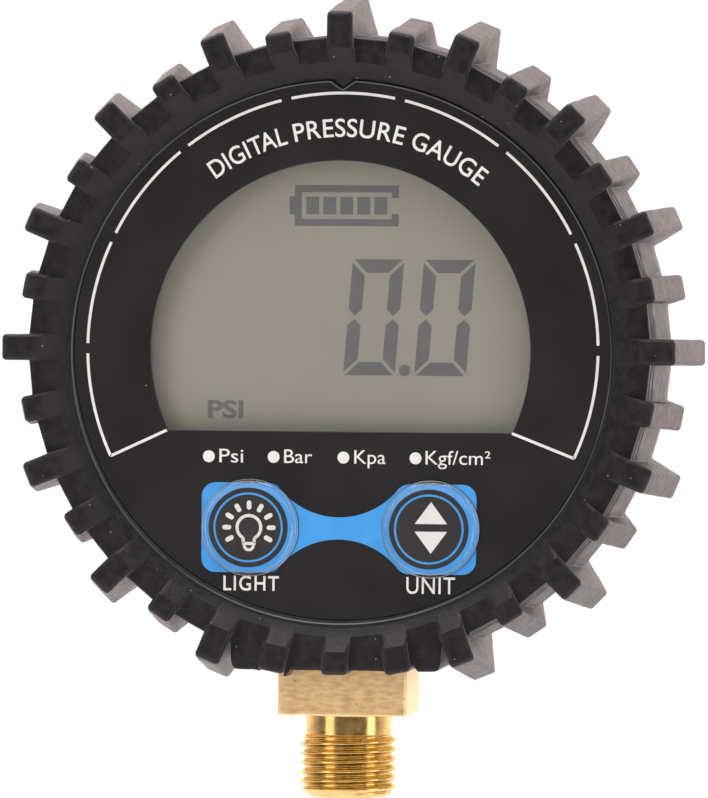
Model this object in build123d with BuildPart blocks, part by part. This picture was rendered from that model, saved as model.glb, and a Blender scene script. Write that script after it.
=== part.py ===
from build123d import *

import os
from math import cos, radians, sin

# Handheld digital tyre pressure gauge: a round battery-powered head in a lugged rubber boot, on a
# brass stem with a G 1/8 parallel thread.
# Frame, in millimetres: +Z up along the thread axis, the dial faces -Y, +X is the dial's right.
# The origin is on the thread axis where the thread meets its relief neck.

os.makedirs("parts", exist_ok=True)

# Head
HEAD_Z = 37.5  # the dial's centre above the thread
FACE_Y = -9.0  # front of the printed overlay
PARTING_Y = 1.0  # bezel and rear case meet here
BACK_Y = 17.6  # outer back of the rear case

# Plastic case
CASE_R = 27.9
WALL = 1.6
CHIN_HALF = 8.6  # the flat-bottomed chin that carries the stem
CHIN_Z = 8.3
FRONT_WALL = 1.5
BACK_WALL = 2.4
CASE_INSIDE_R = CASE_R - WALL

# Rubber boot
BOOT_FRONT_Y = FACE_Y - 2.5
BOOT_BACK_Y = BOOT_FRONT_Y + 30.0
BOOT_HEEL_Y = BOOT_BACK_Y - 1.2  # the sleeve's rear edge is bevelled from here
CHIN_BACK_Y = BOOT_BACK_Y - 0.6
PANEL_Y = BOOT_FRONT_Y + 1.2  # the recessed panels between the lugs
LIP_R = 26.3
LUG_ROOT_R = LIP_R + 0.5
REAR_LIP_R = 25.6
FUNNEL_R = 29.0
BOOT_R = 30.0
BOOT_WAIST_R = 30.8
WAIST_Y = 3.5
BOOT_CHIN_HALF = 10.2
BOOT_CHIN_Z = HEAD_Z - 30.7
BOOT_CHIN_ROOT = 24.0  # the chin's plate starts this far below the head's axis
BOOT_CHIN_CORNER = 1.2
STUB_Z = HEAD_Z - 31.2
STUB_CUT = (19.0, 6.0)
LUG_COUNT = 32
LUG_WIDTH = 2.5
LONG_TIP_R = 32.5
SHORT_TIP_R = 31.0
LUG_SWELL = 2.0  # how much further the tips stand out at the waist
LUG_EDGE = 0.4

# Printed overlay and its window
OVERLAY_R = 26.0
OVERLAY_T = 0.25
WINDOW_R = 18.5
WINDOW_X = -0.3  # the window sits a little left of the dial's centre
WINDOW_FLAT = 7.9  # the window's straight bottom below the centre
LENS_T = 1.0
INDEX_HALF = 1.0
INDEX_DEPTH = 0.75

# Push keys
KEY_X = 8.75
KEY_DROP = 17.2
KEY_R = 4.7
KEY_HOLE_R = 4.85
KEY_PROUD = 0.55
KEY_TRAVEL = 0.4
PLUNGER_R = 2.0
SWITCH_SIDE = 4.5

# Display stack, front to back
GLASS_HALF = 19.8
GLASS_TOP = 19.2
GLASS_BOTTOM = 11.5
GLASS_CORNER = 12.0
GLASS_T = 1.1
FILM_T = 0.2
LEDGE = 2.3
FRAME_T = 0.8
LCD_FRONT_Y = -7.2

# Circuit board
BOARD_R = 25.4
BOARD_FRONT_Y = -2.9
BOARD_T = 1.0
BOARD_BACK_Y = BOARD_FRONT_Y + BOARD_T
BOARD_SCREW_R = 23.2
BOARD_POST_R = 1.8
BOARD_SCREW_HEAD = (1.5, 0.9)
BOARD_SCREW_SHANK_R = 0.7
BOARD_SCREW_LENGTH = 4.4

# Brass stem, G 1/8 parallel thread
THREAD_R = 9.728 / 2
THREAD_LENGTH = 5.2
TIP_Z = -6.0
TIP_R = 3.9
NECK_R = 8.55 / 2
NECK_LENGTH = 2.1  # up to the shoulder that a sealing washer sits on
BLOCK = 12.5
BLOCK_TOP_Z = 16.5
SOCKET_R = 5.0
SOCKET_TOP_Z = 24.3
PORT_R = 1.5
POCKET_R = 3.8
POCKET_Z = 17.8
STEM_SCREW_X = 4.0
STEM_SCREW_Z = 12.5
STEM_SCREW_HEAD = (1.4, 1.3)
STEM_SCREW_SHANK_R = 0.8
STEM_SCREW_END_Y = 11.0
APERTURE = BLOCK + 0.2

# Case screws
CASE_SCREW_R = 23.5
CASE_BOSS_R = 3.1
BEZEL_BOSS_R = 2.4
CASE_SCREW_HEAD_R = 1.9
CASE_SCREW_HEAD_T = 1.6
CASE_SCREW_SHANK_R = 0.9
CASE_SCREW_LENGTH = 9.0
CASE_SCREW_SEAT_Y = 5.0

# Two AAA cells
CELL_R = 5.25
CELL_LENGTH = 44.5
CELL_NUB = 0.9
CELL_Z = 5.5  # above and below the head's axis
CELL_Y = 9.9
PLATE_X = 23.95
PLATE_T = 0.3
LEG_Z = 6.0  # the contacts' legs to the board, above and below the head's axis
SPRING_LENGTH = PLATE_X * 2 - CELL_LENGTH

# Battery bay and door
BAY_FLOOR_Y = 3.4
BAY_FLOOR_T = 1.2
BAY_HALF = 10.9
BAY_OPENING = (45.4, 21.8)
DOOR = (47.4, 22.8)
DOOR_T = 1.4
DOOR_GAP = 0.15
DOOR_EAR_R = 3.2
DOOR_SCREW_Z = 13.6
DOOR_SCREW_HEAD_R = 1.8
DOOR_SCREW_SHANK_R = 0.75
DOOR_COUNTERBORE = 0.8
GRIP_SLOT = (16.0, 0.9)
GRIP_PITCH = 2.2

HEAD_AXIS = Axis((0, 0, HEAD_Z), (0, 1, 0))


def facing(y):
    """A plane parallel to the dial at depth y, seen from the front, centred on the head."""
    return Plane(origin=(0, y, HEAD_Z), x_dir=(1, 0, 0), z_dir=(0, -1, 0))


# The half plane above the head's axis: local x is the radius and local y is the depth Y.
HEAD_PROFILE = Plane(origin=(0, 0, HEAD_Z), x_dir=(0, 0, 1), z_dir=(-1, 0, 0))


def on_circle(radius, degrees):
    return (radius * cos(radians(degrees)), radius * sin(radians(degrees)))


CASE_SCREW_SPOTS = [on_circle(CASE_SCREW_R, angle) for angle in (45, 135, 225, 315)]
BOARD_SCREW_SPOTS = [on_circle(BOARD_SCREW_R, angle) for angle in (0, 90, 180)]
KEY_SPOTS = {"light": (-KEY_X, -KEY_DROP), "unit": (KEY_X, -KEY_DROP)}
DOOR_SCREW_SPOTS = [(0, DOOR_SCREW_Z), (0, -DOOR_SCREW_Z)]
STEM_SCREW_SPOTS = [(side * STEM_SCREW_X, STEM_SCREW_Z - HEAD_Z) for side in (1, -1)]


def case_outline(inset=0.0):
    """The head's circle with its flat-bottomed chin, drawn into the current sketch."""
    bottom = CHIN_Z + inset - HEAD_Z
    Circle(CASE_R - inset)
    with Locations((0, bottom / 2)):
        Rectangle(2 * (CHIN_HALF - inset), -bottom)


def window_outline(grow=0.0):
    """A circle with a straight bottom, drawn into the current sketch."""
    radius = WINDOW_R + grow
    with Locations((WINDOW_X, 0)):
        Circle(radius)
    with Locations((WINDOW_X, -WINDOW_FLAT - grow - radius / 2)):
        Rectangle(2 * radius, radius, mode=Mode.SUBTRACT)


def glass_outline(bottom=GLASS_BOTTOM, grow=0.0):
    """The display glass: a rectangle with its two upper corners cut off, and small lower ones."""
    half = GLASS_HALF + grow
    top = GLASS_TOP + grow
    low = -bottom - grow
    Polygon(
        (-half, low + 2),
        (-half, top - GLASS_CORNER),
        (-half + GLASS_CORNER, top),
        (half - GLASS_CORNER, top),
        (half, top - GLASS_CORNER),
        (half, low + 2),
        (half - 2, low),
        (-half + 2, low),
        align=None,
    )


def index_tooth(grow=0.0):
    """The V that locates the overlay at twelve o'clock, drawn into the current sketch as a cut."""
    half = INDEX_HALF + grow
    tip = OVERLAY_R + 0.1 - INDEX_DEPTH - grow
    base = OVERLAY_R + 0.15
    Polygon((-half, base), (half, base), (0, tip), align=None, mode=Mode.SUBTRACT)


# ---------------------------------------------------------------- rubber boot


def lug(tip):
    """One lug at twelve o'clock: a tapered block that is tallest at the boot's waist."""
    with BuildPart() as block:
        with BuildSketch(HEAD_PROFILE):
            with BuildLine():
                Polyline(
                    (LUG_ROOT_R, BOOT_FRONT_Y),
                    (tip, BOOT_FRONT_Y),
                    (tip + LUG_SWELL, WAIST_Y),
                    (BOOT_R, BOOT_HEEL_Y),
                    (CASE_R + 0.6, BOOT_HEEL_Y),
                    (CASE_R + 0.6, FACE_Y),
                    (LUG_ROOT_R, FACE_Y - 0.3),
                    close=True,
                )
            make_face()
        extrude(amount=LUG_WIDTH / 2, both=True)
        outer = block.faces().filter_by(lambda face: face.center().Z > HEAD_Z + BOOT_R + 0.6)
        tip_edges = outer.edges().filter_by(lambda edge: abs(edge.center().X) > 1.0)
        fillet(tip_edges, radius=LUG_EDGE)
    return block.part


long_lug = lug(LONG_TIP_R)
short_lug = lug(SHORT_TIP_R)
lug_step = 360 / LUG_COUNT
lugs = []
for index in range(LUG_COUNT):
    shape = long_lug if index % 2 == 0 else short_lug
    lugs.append(shape.rotate(HEAD_AXIS, index * lug_step))

with BuildPart() as rubber_boot:
    with BuildSketch(HEAD_PROFILE):
        with BuildLine():
            Polyline(
                (LIP_R, FACE_Y - 0.05),
                (LIP_R, PANEL_Y),
                (BOOT_R, PANEL_Y),
                (BOOT_WAIST_R, WAIST_Y),
                (BOOT_R + 0.3, BOOT_HEEL_Y),
                (BOOT_R - 0.7, BOOT_BACK_Y),
                (REAR_LIP_R, BOOT_BACK_Y),
                (REAR_LIP_R, BACK_Y + 0.1),
                (CASE_R + 0.05, BACK_Y + 0.1),
                (CASE_R + 0.05, FACE_Y - 0.05),
                close=True,
            )
        make_face()
    revolve(axis=HEAD_AXIS)
    add(lugs)
    with BuildSketch(facing(CHIN_BACK_Y)):
        with Locations((0, (BOOT_CHIN_Z - HEAD_Z - BOOT_CHIN_ROOT) / 2)):
            RectangleRounded(2 * BOOT_CHIN_HALF, HEAD_Z - BOOT_CHIN_Z - BOOT_CHIN_ROOT, BOOT_CHIN_CORNER)
    extrude(amount=CHIN_BACK_Y - PANEL_Y)
    # The land round the dial slopes forward and outward, across panels, lugs and chin alike.
    with BuildSketch(HEAD_PROFILE):
        with BuildLine():
            Polyline(
                (0, FACE_Y - 0.05),
                (LIP_R, FACE_Y - 0.05),
                (LIP_R, FACE_Y - 0.2),
                (FUNNEL_R, BOOT_FRONT_Y),
                (FUNNEL_R, BOOT_FRONT_Y - 1),
                (0, BOOT_FRONT_Y - 1),
                close=True,
            )
        make_face()
    revolve(axis=HEAD_AXIS, mode=Mode.SUBTRACT)
    # The three lugs under the chin are cut to stubs.
    with BuildSketch(facing(BOOT_BACK_Y)):
        with Locations((0, STUB_Z - HEAD_Z - STUB_CUT[1] / 2)):
            Rectangle(*STUB_CUT)
    extrude(amount=BOOT_BACK_Y - BOOT_FRONT_Y, mode=Mode.SUBTRACT)
    with BuildSketch(facing(BACK_Y + 0.1)):
        case_outline(inset=-0.05)
    extrude(amount=BACK_Y + 0.1 - FACE_Y + 0.05, mode=Mode.SUBTRACT)
    # The square hole that the stem's block passes through.
    with BuildSketch(Plane.XY.offset(NECK_LENGTH)):
        Rectangle(APERTURE + 0.2, APERTURE + 0.2)
    extrude(amount=CHIN_Z - NECK_LENGTH, mode=Mode.SUBTRACT)
rubber_boot.part.label = "rubber_boot"
export_step(rubber_boot.part, "parts/rubber_boot.step")

# ---------------------------------------------------------------- overlay, lens and bezel

with BuildPart() as face_overlay:
    with BuildSketch(facing(FACE_Y + OVERLAY_T)):
        Circle(OVERLAY_R)
        index_tooth(grow=0.15)
        with BuildSketch(facing(FACE_Y + OVERLAY_T), mode=Mode.SUBTRACT):
            window_outline()
        with Locations(*KEY_SPOTS.values()):
            Circle(KEY_HOLE_R, mode=Mode.SUBTRACT)
    extrude(amount=OVERLAY_T)
face_overlay.part.label = "face_overlay"
export_step(face_overlay.part, "parts/face_overlay.step")

SEAT_Y = FACE_Y + OVERLAY_T  # the bezel's face under the overlay
BEZEL_BACK_Y = SEAT_Y + FRONT_WALL

with BuildPart() as window_lens:
    with BuildSketch(facing(SEAT_Y + LENS_T)):
        window_outline(grow=0.8)
    extrude(amount=LENS_T)
window_lens.part.label = "window_lens"
export_step(window_lens.part, "parts/window_lens.step")

with BuildPart() as front_bezel:
    with BuildSketch(facing(PARTING_Y)):
        case_outline()
    extrude(amount=PARTING_Y - FACE_Y)
    with BuildSketch(facing(PARTING_Y)):
        case_outline(inset=WALL)
    extrude(amount=PARTING_Y - BEZEL_BACK_Y, mode=Mode.SUBTRACT)
    # Bosses for the case screws and posts for the board.
    with BuildSketch(facing(PARTING_Y)):
        with Locations(*CASE_SCREW_SPOTS):
            Circle(BEZEL_BOSS_R)
    extrude(amount=PARTING_Y - BEZEL_BACK_Y)
    with BuildSketch(facing(BOARD_FRONT_Y)):
        with Locations(*BOARD_SCREW_SPOTS):
            Circle(BOARD_POST_R)
    extrude(amount=BOARD_FRONT_Y - BEZEL_BACK_Y)
    with BuildSketch(facing(PARTING_Y)):
        with Locations(*CASE_SCREW_SPOTS):
            Circle(CASE_SCREW_SHANK_R + 0.02)
    extrude(amount=6.0, mode=Mode.SUBTRACT)
    with BuildSketch(facing(BOARD_FRONT_Y)):
        with Locations(*BOARD_SCREW_SPOTS):
            Circle(BOARD_SCREW_SHANK_R + 0.02)
    extrude(amount=3.6, mode=Mode.SUBTRACT)
    # The overlay's recess, the lens's step and the window.
    with BuildSketch(facing(SEAT_Y)):
        Circle(OVERLAY_R + 0.1)
        index_tooth()
    extrude(amount=OVERLAY_T, mode=Mode.SUBTRACT)
    with BuildSketch(facing(SEAT_Y + LENS_T)):
        window_outline(grow=0.9)
    extrude(amount=LENS_T, mode=Mode.SUBTRACT)
    with BuildSketch(facing(BEZEL_BACK_Y)):
        window_outline()
    extrude(amount=FRONT_WALL, mode=Mode.SUBTRACT)
    # Pockets for the keys and the holes that guide their plungers.
    with BuildSketch(facing(SEAT_Y + 0.6)):
        with Locations(*KEY_SPOTS.values()):
            Circle(KEY_HOLE_R)
    extrude(amount=0.6, mode=Mode.SUBTRACT)
    with BuildSketch(facing(BEZEL_BACK_Y)):
        with Locations(*KEY_SPOTS.values()):
            Circle(PLUNGER_R + 0.05)
    extrude(amount=FRONT_WALL, mode=Mode.SUBTRACT)
    # The chin's aperture for the stem.
    with BuildSketch(Plane.XY.offset(CHIN_Z)):
        Rectangle(APERTURE, APERTURE)
    extrude(amount=WALL + 0.1, mode=Mode.SUBTRACT)
front_bezel.part.label = "front_bezel"
export_step(front_bezel.part, "parts/front_bezel.step")

# ---------------------------------------------------------------- rear case

GASKET_R = (26.75, 27.45)
GASKET_DEPTH = 0.7
BACK_INSIDE_Y = BACK_Y - BACK_WALL
STEM_PAD_Y = BLOCK / 2 + 0.05
STEM_PAD_HEIGHT = 5.6
LEG_SLOT = (0.7, 2.0)

with BuildPart() as rear_case:
    with BuildSketch(facing(BACK_Y)):
        case_outline()
    extrude(amount=BACK_Y - PARTING_Y)
    with BuildSketch(facing(BACK_INSIDE_Y)):
        case_outline(inset=WALL)
    extrude(amount=BACK_INSIDE_Y - PARTING_Y, mode=Mode.SUBTRACT)
    # The battery bay: a floor and two long walls between the case's sides.
    with BuildSketch(facing(BACK_INSIDE_Y)):
        Circle(CASE_INSIDE_R + 0.1)
        Rectangle(60, 2 * (BAY_HALF + BAY_FLOOR_T), mode=Mode.INTERSECT)
    extrude(amount=BACK_INSIDE_Y - BAY_FLOOR_Y)
    with BuildSketch(facing(BACK_INSIDE_Y)):
        Circle(CASE_INSIDE_R)
        Rectangle(60, 2 * BAY_HALF, mode=Mode.INTERSECT)
    extrude(amount=BACK_INSIDE_Y - BAY_FLOOR_Y - BAY_FLOOR_T, mode=Mode.SUBTRACT)
    # Bosses for the case screws and the door screws, and the pad that the stem is screwed to.
    with BuildSketch(facing(BACK_INSIDE_Y)):
        with Locations(*CASE_SCREW_SPOTS):
            Circle(CASE_BOSS_R)
    extrude(amount=BACK_INSIDE_Y - PARTING_Y)
    with BuildSketch(facing(BACK_INSIDE_Y)):
        with Locations(*DOOR_SCREW_SPOTS):
            Circle(DOOR_SCREW_SHANK_R + 1.65)
    extrude(amount=6.0)
    with BuildSketch(facing(BACK_INSIDE_Y)):
        with Locations((0, CHIN_Z + WALL + STEM_PAD_HEIGHT / 2 - HEAD_Z)):
            Rectangle(2 * (CHIN_HALF - WALL), STEM_PAD_HEIGHT)
    extrude(amount=BACK_INSIDE_Y - STEM_PAD_Y)
    # The door's opening, the step that the door lies on and the door's ears.
    with BuildSketch(facing(BACK_INSIDE_Y + BACK_WALL)):
        RectangleRounded(*BAY_OPENING, 0.5)
    extrude(amount=BACK_WALL + 0.5, mode=Mode.SUBTRACT)
    with BuildSketch(facing(BACK_Y)):
        RectangleRounded(DOOR[0] + 2 * DOOR_GAP, DOOR[1] + 2 * DOOR_GAP, 3.0)
        with Locations(*DOOR_SCREW_SPOTS):
            Circle(DOOR_EAR_R + DOOR_GAP)
    extrude(amount=DOOR_T, mode=Mode.SUBTRACT)
    # Screw holes.
    with BuildSketch(facing(BACK_Y)):
        with Locations(*CASE_SCREW_SPOTS):
            Circle(CASE_SCREW_HEAD_R + 0.2)
    extrude(amount=BACK_Y - CASE_SCREW_SEAT_Y, mode=Mode.SUBTRACT)
    with BuildSketch(facing(CASE_SCREW_SEAT_Y)):
        with Locations(*CASE_SCREW_SPOTS):
            Circle(CASE_SCREW_SHANK_R + 0.2)
    extrude(amount=CASE_SCREW_SEAT_Y - PARTING_Y, mode=Mode.SUBTRACT)
    with BuildSketch(facing(BACK_Y)):
        with Locations(*DOOR_SCREW_SPOTS):
            Circle(DOOR_SCREW_SHANK_R + 0.07)
    extrude(amount=7.0, mode=Mode.SUBTRACT)
    with BuildSketch(facing(STEM_SCREW_END_Y + 1.0)):
        with Locations(*STEM_SCREW_SPOTS):
            Circle(STEM_SCREW_SHANK_R + 0.02)
    extrude(amount=STEM_SCREW_END_Y + 1.0 - STEM_PAD_Y, mode=Mode.SUBTRACT)
    # Slots in the bay's floor for the legs of the contacts.
    with BuildSketch(facing(BAY_FLOOR_Y + BAY_FLOOR_T)):
        with Locations((PLATE_X + PLATE_T / 2, LEG_Z), (PLATE_X + PLATE_T / 2, -LEG_Z)):
            Rectangle(*LEG_SLOT)
    extrude(amount=BAY_FLOOR_T, mode=Mode.SUBTRACT)
    # The gasket's groove, broken at the chin, and the chin's aperture for the stem.
    with BuildSketch(facing(PARTING_Y + GASKET_DEPTH)):
        Circle(GASKET_R[1])
        Circle(GASKET_R[0], mode=Mode.SUBTRACT)
        with Locations((0, -CASE_R)):
            Rectangle(2 * CHIN_HALF, 12, mode=Mode.SUBTRACT)
    extrude(amount=GASKET_DEPTH, mode=Mode.SUBTRACT)
    with BuildSketch(Plane.XY.offset(CHIN_Z)):
        Rectangle(APERTURE, APERTURE)
    extrude(amount=WALL + 0.1, mode=Mode.SUBTRACT)
rear_case.part.label = "rear_case"
export_step(rear_case.part, "parts/rear_case.step")

with BuildPart() as case_gasket:
    with BuildSketch(facing(PARTING_Y + GASKET_DEPTH)):
        Circle(GASKET_R[1] - 0.03)
        Circle(GASKET_R[0] + 0.03, mode=Mode.SUBTRACT)
        with Locations((0, -CASE_R)):
            Rectangle(2 * CHIN_HALF + 0.1, 12, mode=Mode.SUBTRACT)
    extrude(amount=GASKET_DEPTH)
case_gasket.part.label = "case_gasket"
export_step(case_gasket.part, "parts/case_gasket.step")

with BuildPart() as case_screws:
    with BuildSketch(facing(CASE_SCREW_SEAT_Y + CASE_SCREW_HEAD_T)):
        with Locations(*CASE_SCREW_SPOTS):
            Circle(CASE_SCREW_HEAD_R)
    extrude(amount=CASE_SCREW_HEAD_T)
    with BuildSketch(facing(CASE_SCREW_SEAT_Y)):
        with Locations(*CASE_SCREW_SPOTS):
            Circle(CASE_SCREW_SHANK_R)
    extrude(amount=CASE_SCREW_LENGTH)
    with BuildSketch(facing(CASE_SCREW_SEAT_Y + CASE_SCREW_HEAD_T)):
        with Locations(*CASE_SCREW_SPOTS):
            Rectangle(2.2, 0.5)
            Rectangle(0.5, 2.2)
    extrude(amount=0.8, mode=Mode.SUBTRACT)
case_screws.part.label = "case_screws"
export_step(case_screws.part, "parts/case_screws.step")

# ---------------------------------------------------------------- battery bay

with BuildPart() as battery_door:
    with BuildSketch(facing(BACK_Y)):
        RectangleRounded(*DOOR, 3.0 - DOOR_GAP)
        with Locations(*DOOR_SCREW_SPOTS):
            Circle(DOOR_EAR_R)
    extrude(amount=DOOR_T)
    with BuildSketch(facing(BACK_Y)):
        with Locations(*DOOR_SCREW_SPOTS):
            Circle(DOOR_SCREW_HEAD_R + 0.15)
    extrude(amount=DOOR_COUNTERBORE, mode=Mode.SUBTRACT)
    with BuildSketch(facing(BACK_Y - DOOR_COUNTERBORE)):
        with Locations(*DOOR_SCREW_SPOTS):
            Circle(DOOR_SCREW_SHANK_R + 0.25)
    extrude(amount=DOOR_T - DOOR_COUNTERBORE, mode=Mode.SUBTRACT)
    # Shallow grip grooves on the outside.
    with BuildSketch(facing(BACK_Y)):
        with GridLocations(0, GRIP_PITCH, 1, 5):
            SlotOverall(*GRIP_SLOT)
    extrude(amount=0.4, mode=Mode.SUBTRACT)
battery_door.part.label = "battery_door"
export_step(battery_door.part, "parts/battery_door.step")

with BuildPart() as door_screws:
    with BuildSketch(facing(BACK_Y - 0.05)):
        with Locations(*DOOR_SCREW_SPOTS):
            Circle(DOOR_SCREW_HEAD_R)
    extrude(amount=DOOR_COUNTERBORE - 0.1)
    with BuildSketch(facing(BACK_Y + 0.05 - DOOR_COUNTERBORE)):
        with Locations(*DOOR_SCREW_SPOTS):
            Circle(DOOR_SCREW_SHANK_R)
    extrude(amount=5.0)
    with BuildSketch(facing(BACK_Y)):
        with Locations(*DOOR_SCREW_SPOTS):
            Rectangle(2.0, 0.45)
            Rectangle(0.45, 2.0)
    extrude(amount=0.5, mode=Mode.SUBTRACT)
door_screws.part.label = "door_screws"
export_step(door_screws.part, "parts/door_screws.step")

for name, side in (("upper", 1), ("lower", -1)):
    # The upper cell's positive end is on the right, the lower cell's on the left.
    cell_plane = Plane(
        origin=(side * (PLATE_X - CELL_LENGTH), CELL_Y, HEAD_Z + side * CELL_Z),
        x_dir=(0, 1, 0),
        z_dir=(side, 0, 0),
    )
    with BuildPart() as battery:
        with BuildSketch(cell_plane):
            Circle(CELL_R)
        extrude(amount=CELL_LENGTH - CELL_NUB)
        fillet(battery.edges().filter_by(GeomType.CIRCLE), radius=0.4)
        with BuildSketch(cell_plane.offset(CELL_LENGTH - CELL_NUB)):
            Circle(1.9)
        extrude(amount=CELL_NUB)
    battery.part.label = f"battery_{name}"
    export_step(battery.part, f"parts/battery_{name}.step")


def contact_plate(x, low, high, leg_z=None):
    """A thin upright plate across the bay's end from height low to high, with an optional leg."""
    with BuildPart() as plate:
        with BuildSketch(Plane.YZ.offset(x)):
            with Locations((CELL_Y, HEAD_Z + (low + high) / 2)):
                RectangleRounded(8.0, high - low, 0.8)
            if leg_z is not None:
                with Locations(((BOARD_BACK_Y + CELL_Y) / 2, HEAD_Z + leg_z)):
                    Rectangle(CELL_Y - BOARD_BACK_Y, 1.5)
        extrude(amount=PLATE_T)
    return plate.part


contact_bridge = contact_plate(-PLATE_X - PLATE_T, -8.0, 8.0)
contact_positive = contact_plate(PLATE_X, 2.0, 9.0, leg_z=LEG_Z)
contact_negative = contact_plate(PLATE_X, -9.0, -2.0, leg_z=-LEG_Z)
contact_bridge.label = "contact_bridge"
contact_positive.label = "contact_positive"
contact_negative.label = "contact_negative"
export_step(contact_bridge, "parts/contact_bridge.step")
export_step(contact_positive, "parts/contact_positive.step")
export_step(contact_negative, "parts/contact_negative.step")

SPRING_WIRE_R = 0.22
SPRING_TURNS = 3

with BuildPart() as battery_springs:
    for side in (1, -1):
        rise = SPRING_LENGTH - 2 * SPRING_WIRE_R - 0.1
        start = (-side * (PLATE_X - SPRING_WIRE_R - 0.05), CELL_Y, HEAD_Z + side * CELL_Z)
        with BuildLine():
            coil = Helix(rise / SPRING_TURNS, rise, 2.4, center=start, direction=(side, 0, 0))
        with BuildSketch(Plane(origin=coil @ 0, z_dir=coil % 0)):
            Circle(SPRING_WIRE_R)
        sweep(path=coil, is_frenet=True)
battery_springs.part.label = "battery_springs"
export_step(battery_springs.part, "parts/battery_springs.step")

# ---------------------------------------------------------------- brass stem and sensor

with BuildPart() as pressure_stem:
    with BuildSketch(Plane.XY.offset(NECK_LENGTH)):
        Rectangle(BLOCK, BLOCK)
    extrude(amount=BLOCK_TOP_Z - NECK_LENGTH)
    chamfer(pressure_stem.edges().filter_by(Axis.Z), length=0.4)
    with BuildSketch(Plane.XZ):
        with BuildLine():
            Polyline(
                (0, TIP_Z),
                (TIP_R, TIP_Z),
                (THREAD_R, -THREAD_LENGTH),
                (THREAD_R, 0),
                (NECK_R, 0),
                (NECK_R, NECK_LENGTH + 0.5),
                (0, NECK_LENGTH + 0.5),
                close=True,
            )
        make_face()
    revolve(axis=Axis.Z)
    with BuildSketch(Plane.XY.offset(BLOCK_TOP_Z)):
        Circle(SOCKET_R)
    extrude(amount=SOCKET_TOP_Z - BLOCK_TOP_Z)
    with BuildSketch(Plane.XY.offset(TIP_Z)):
        Circle(PORT_R)
    extrude(amount=SOCKET_TOP_Z - TIP_Z, mode=Mode.SUBTRACT)
    with BuildSketch(Plane.XY.offset(POCKET_Z)):
        Circle(POCKET_R)
    extrude(amount=SOCKET_TOP_Z - POCKET_Z, mode=Mode.SUBTRACT)
    # Two counterbored screw holes from front to back, one each side of the port.
    with BuildSketch(facing(BLOCK / 2)):
        with Locations(*STEM_SCREW_SPOTS):
            Circle(STEM_SCREW_SHANK_R + 0.1)
    extrude(amount=BLOCK, mode=Mode.SUBTRACT)
    with BuildSketch(facing(0)):
        with Locations(*STEM_SCREW_SPOTS):
            Circle(STEM_SCREW_HEAD[0] + 0.1)
    extrude(amount=BLOCK / 2, mode=Mode.SUBTRACT)
pressure_stem.part.label = "pressure_stem"
export_step(pressure_stem.part, "parts/pressure_stem.step")

with BuildPart() as stem_screws:
    with BuildSketch(facing(STEM_SCREW_END_Y)):
        with Locations(*STEM_SCREW_SPOTS):
            Circle(STEM_SCREW_SHANK_R)
    extrude(amount=STEM_SCREW_END_Y)
    with BuildSketch(facing(0)):
        with Locations(*STEM_SCREW_SPOTS):
            Circle(STEM_SCREW_HEAD[0])
    extrude(amount=STEM_SCREW_HEAD[1])
stem_screws.part.label = "stem_screws"
export_step(stem_screws.part, "parts/stem_screws.step")

SEAL_RING_R = 2.6
SEAL_WIRE_R = 0.55
CAPSULE_Z = POCKET_Z + 2 * SEAL_WIRE_R + 0.05
CAPSULE_TOP_Z = CAPSULE_Z + 3.4
CAPSULE_CAP = (2.3, 0.5)
RETAINER_HOLE_R = 2.7
RETAINER_T = 1.5

with BuildPart() as sensor_seal:
    with BuildSketch(Plane.XZ):
        with Locations((SEAL_RING_R, POCKET_Z + SEAL_WIRE_R + 0.02)):
            Circle(SEAL_WIRE_R)
    revolve(axis=Axis.Z)
sensor_seal.part.label = "sensor_seal"
export_step(sensor_seal.part, "parts/sensor_seal.step")

with BuildPart() as sensor_capsule:
    with BuildSketch(Plane.XY.offset(CAPSULE_Z)):
        Circle(POCKET_R - 0.05)
    extrude(amount=CAPSULE_TOP_Z - CAPSULE_Z)
    with BuildSketch(Plane.XY.offset(CAPSULE_TOP_Z)):
        Circle(CAPSULE_CAP[0])
    extrude(amount=CAPSULE_CAP[1])
sensor_capsule.part.label = "sensor_capsule"
export_step(sensor_capsule.part, "parts/sensor_capsule.step")

with BuildPart() as sensor_retainer:
    with BuildSketch(Plane.XY.offset(CAPSULE_TOP_Z + 0.05)):
        Circle(POCKET_R - 0.05)
        Circle(RETAINER_HOLE_R, mode=Mode.SUBTRACT)
    extrude(amount=RETAINER_T)
sensor_retainer.part.label = "sensor_retainer"
export_step(sensor_retainer.part, "parts/sensor_retainer.step")

RIBBON_TOP_Z = 27.4
RIBBON_T = 0.25
RIBBON_HALF = 1.5
CONNECTOR = (5.0, 2.2)
CONNECTOR_Y = BOARD_BACK_Y + 1.5

with BuildPart() as sensor_ribbon:
    with BuildSketch(Plane.YZ):
        with BuildLine():
            Polyline(
                (RIBBON_T / 2, CAPSULE_TOP_Z + CAPSULE_CAP[1]),
                (RIBBON_T / 2, RIBBON_TOP_Z),
                (CONNECTOR_Y, RIBBON_TOP_Z),
                (CONNECTOR_Y, RIBBON_TOP_Z - RIBBON_T),
                (-RIBBON_T / 2, RIBBON_TOP_Z - RIBBON_T),
                (-RIBBON_T / 2, CAPSULE_TOP_Z + CAPSULE_CAP[1]),
                close=True,
            )
        make_face()
    extrude(amount=RIBBON_HALF, both=True)
sensor_ribbon.part.label = "sensor_ribbon"
export_step(sensor_ribbon.part, "parts/sensor_ribbon.step")

with BuildPart() as ribbon_connector:
    with BuildSketch(facing(CONNECTOR_Y)):
        with Locations((0, RIBBON_TOP_Z - 0.3 - HEAD_Z)):
            Rectangle(*CONNECTOR)
    extrude(amount=CONNECTOR_Y - BOARD_BACK_Y)
ribbon_connector.part.label = "ribbon_connector"
export_step(ribbon_connector.part, "parts/ribbon_connector.step")

# ---------------------------------------------------------------- circuit board

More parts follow.
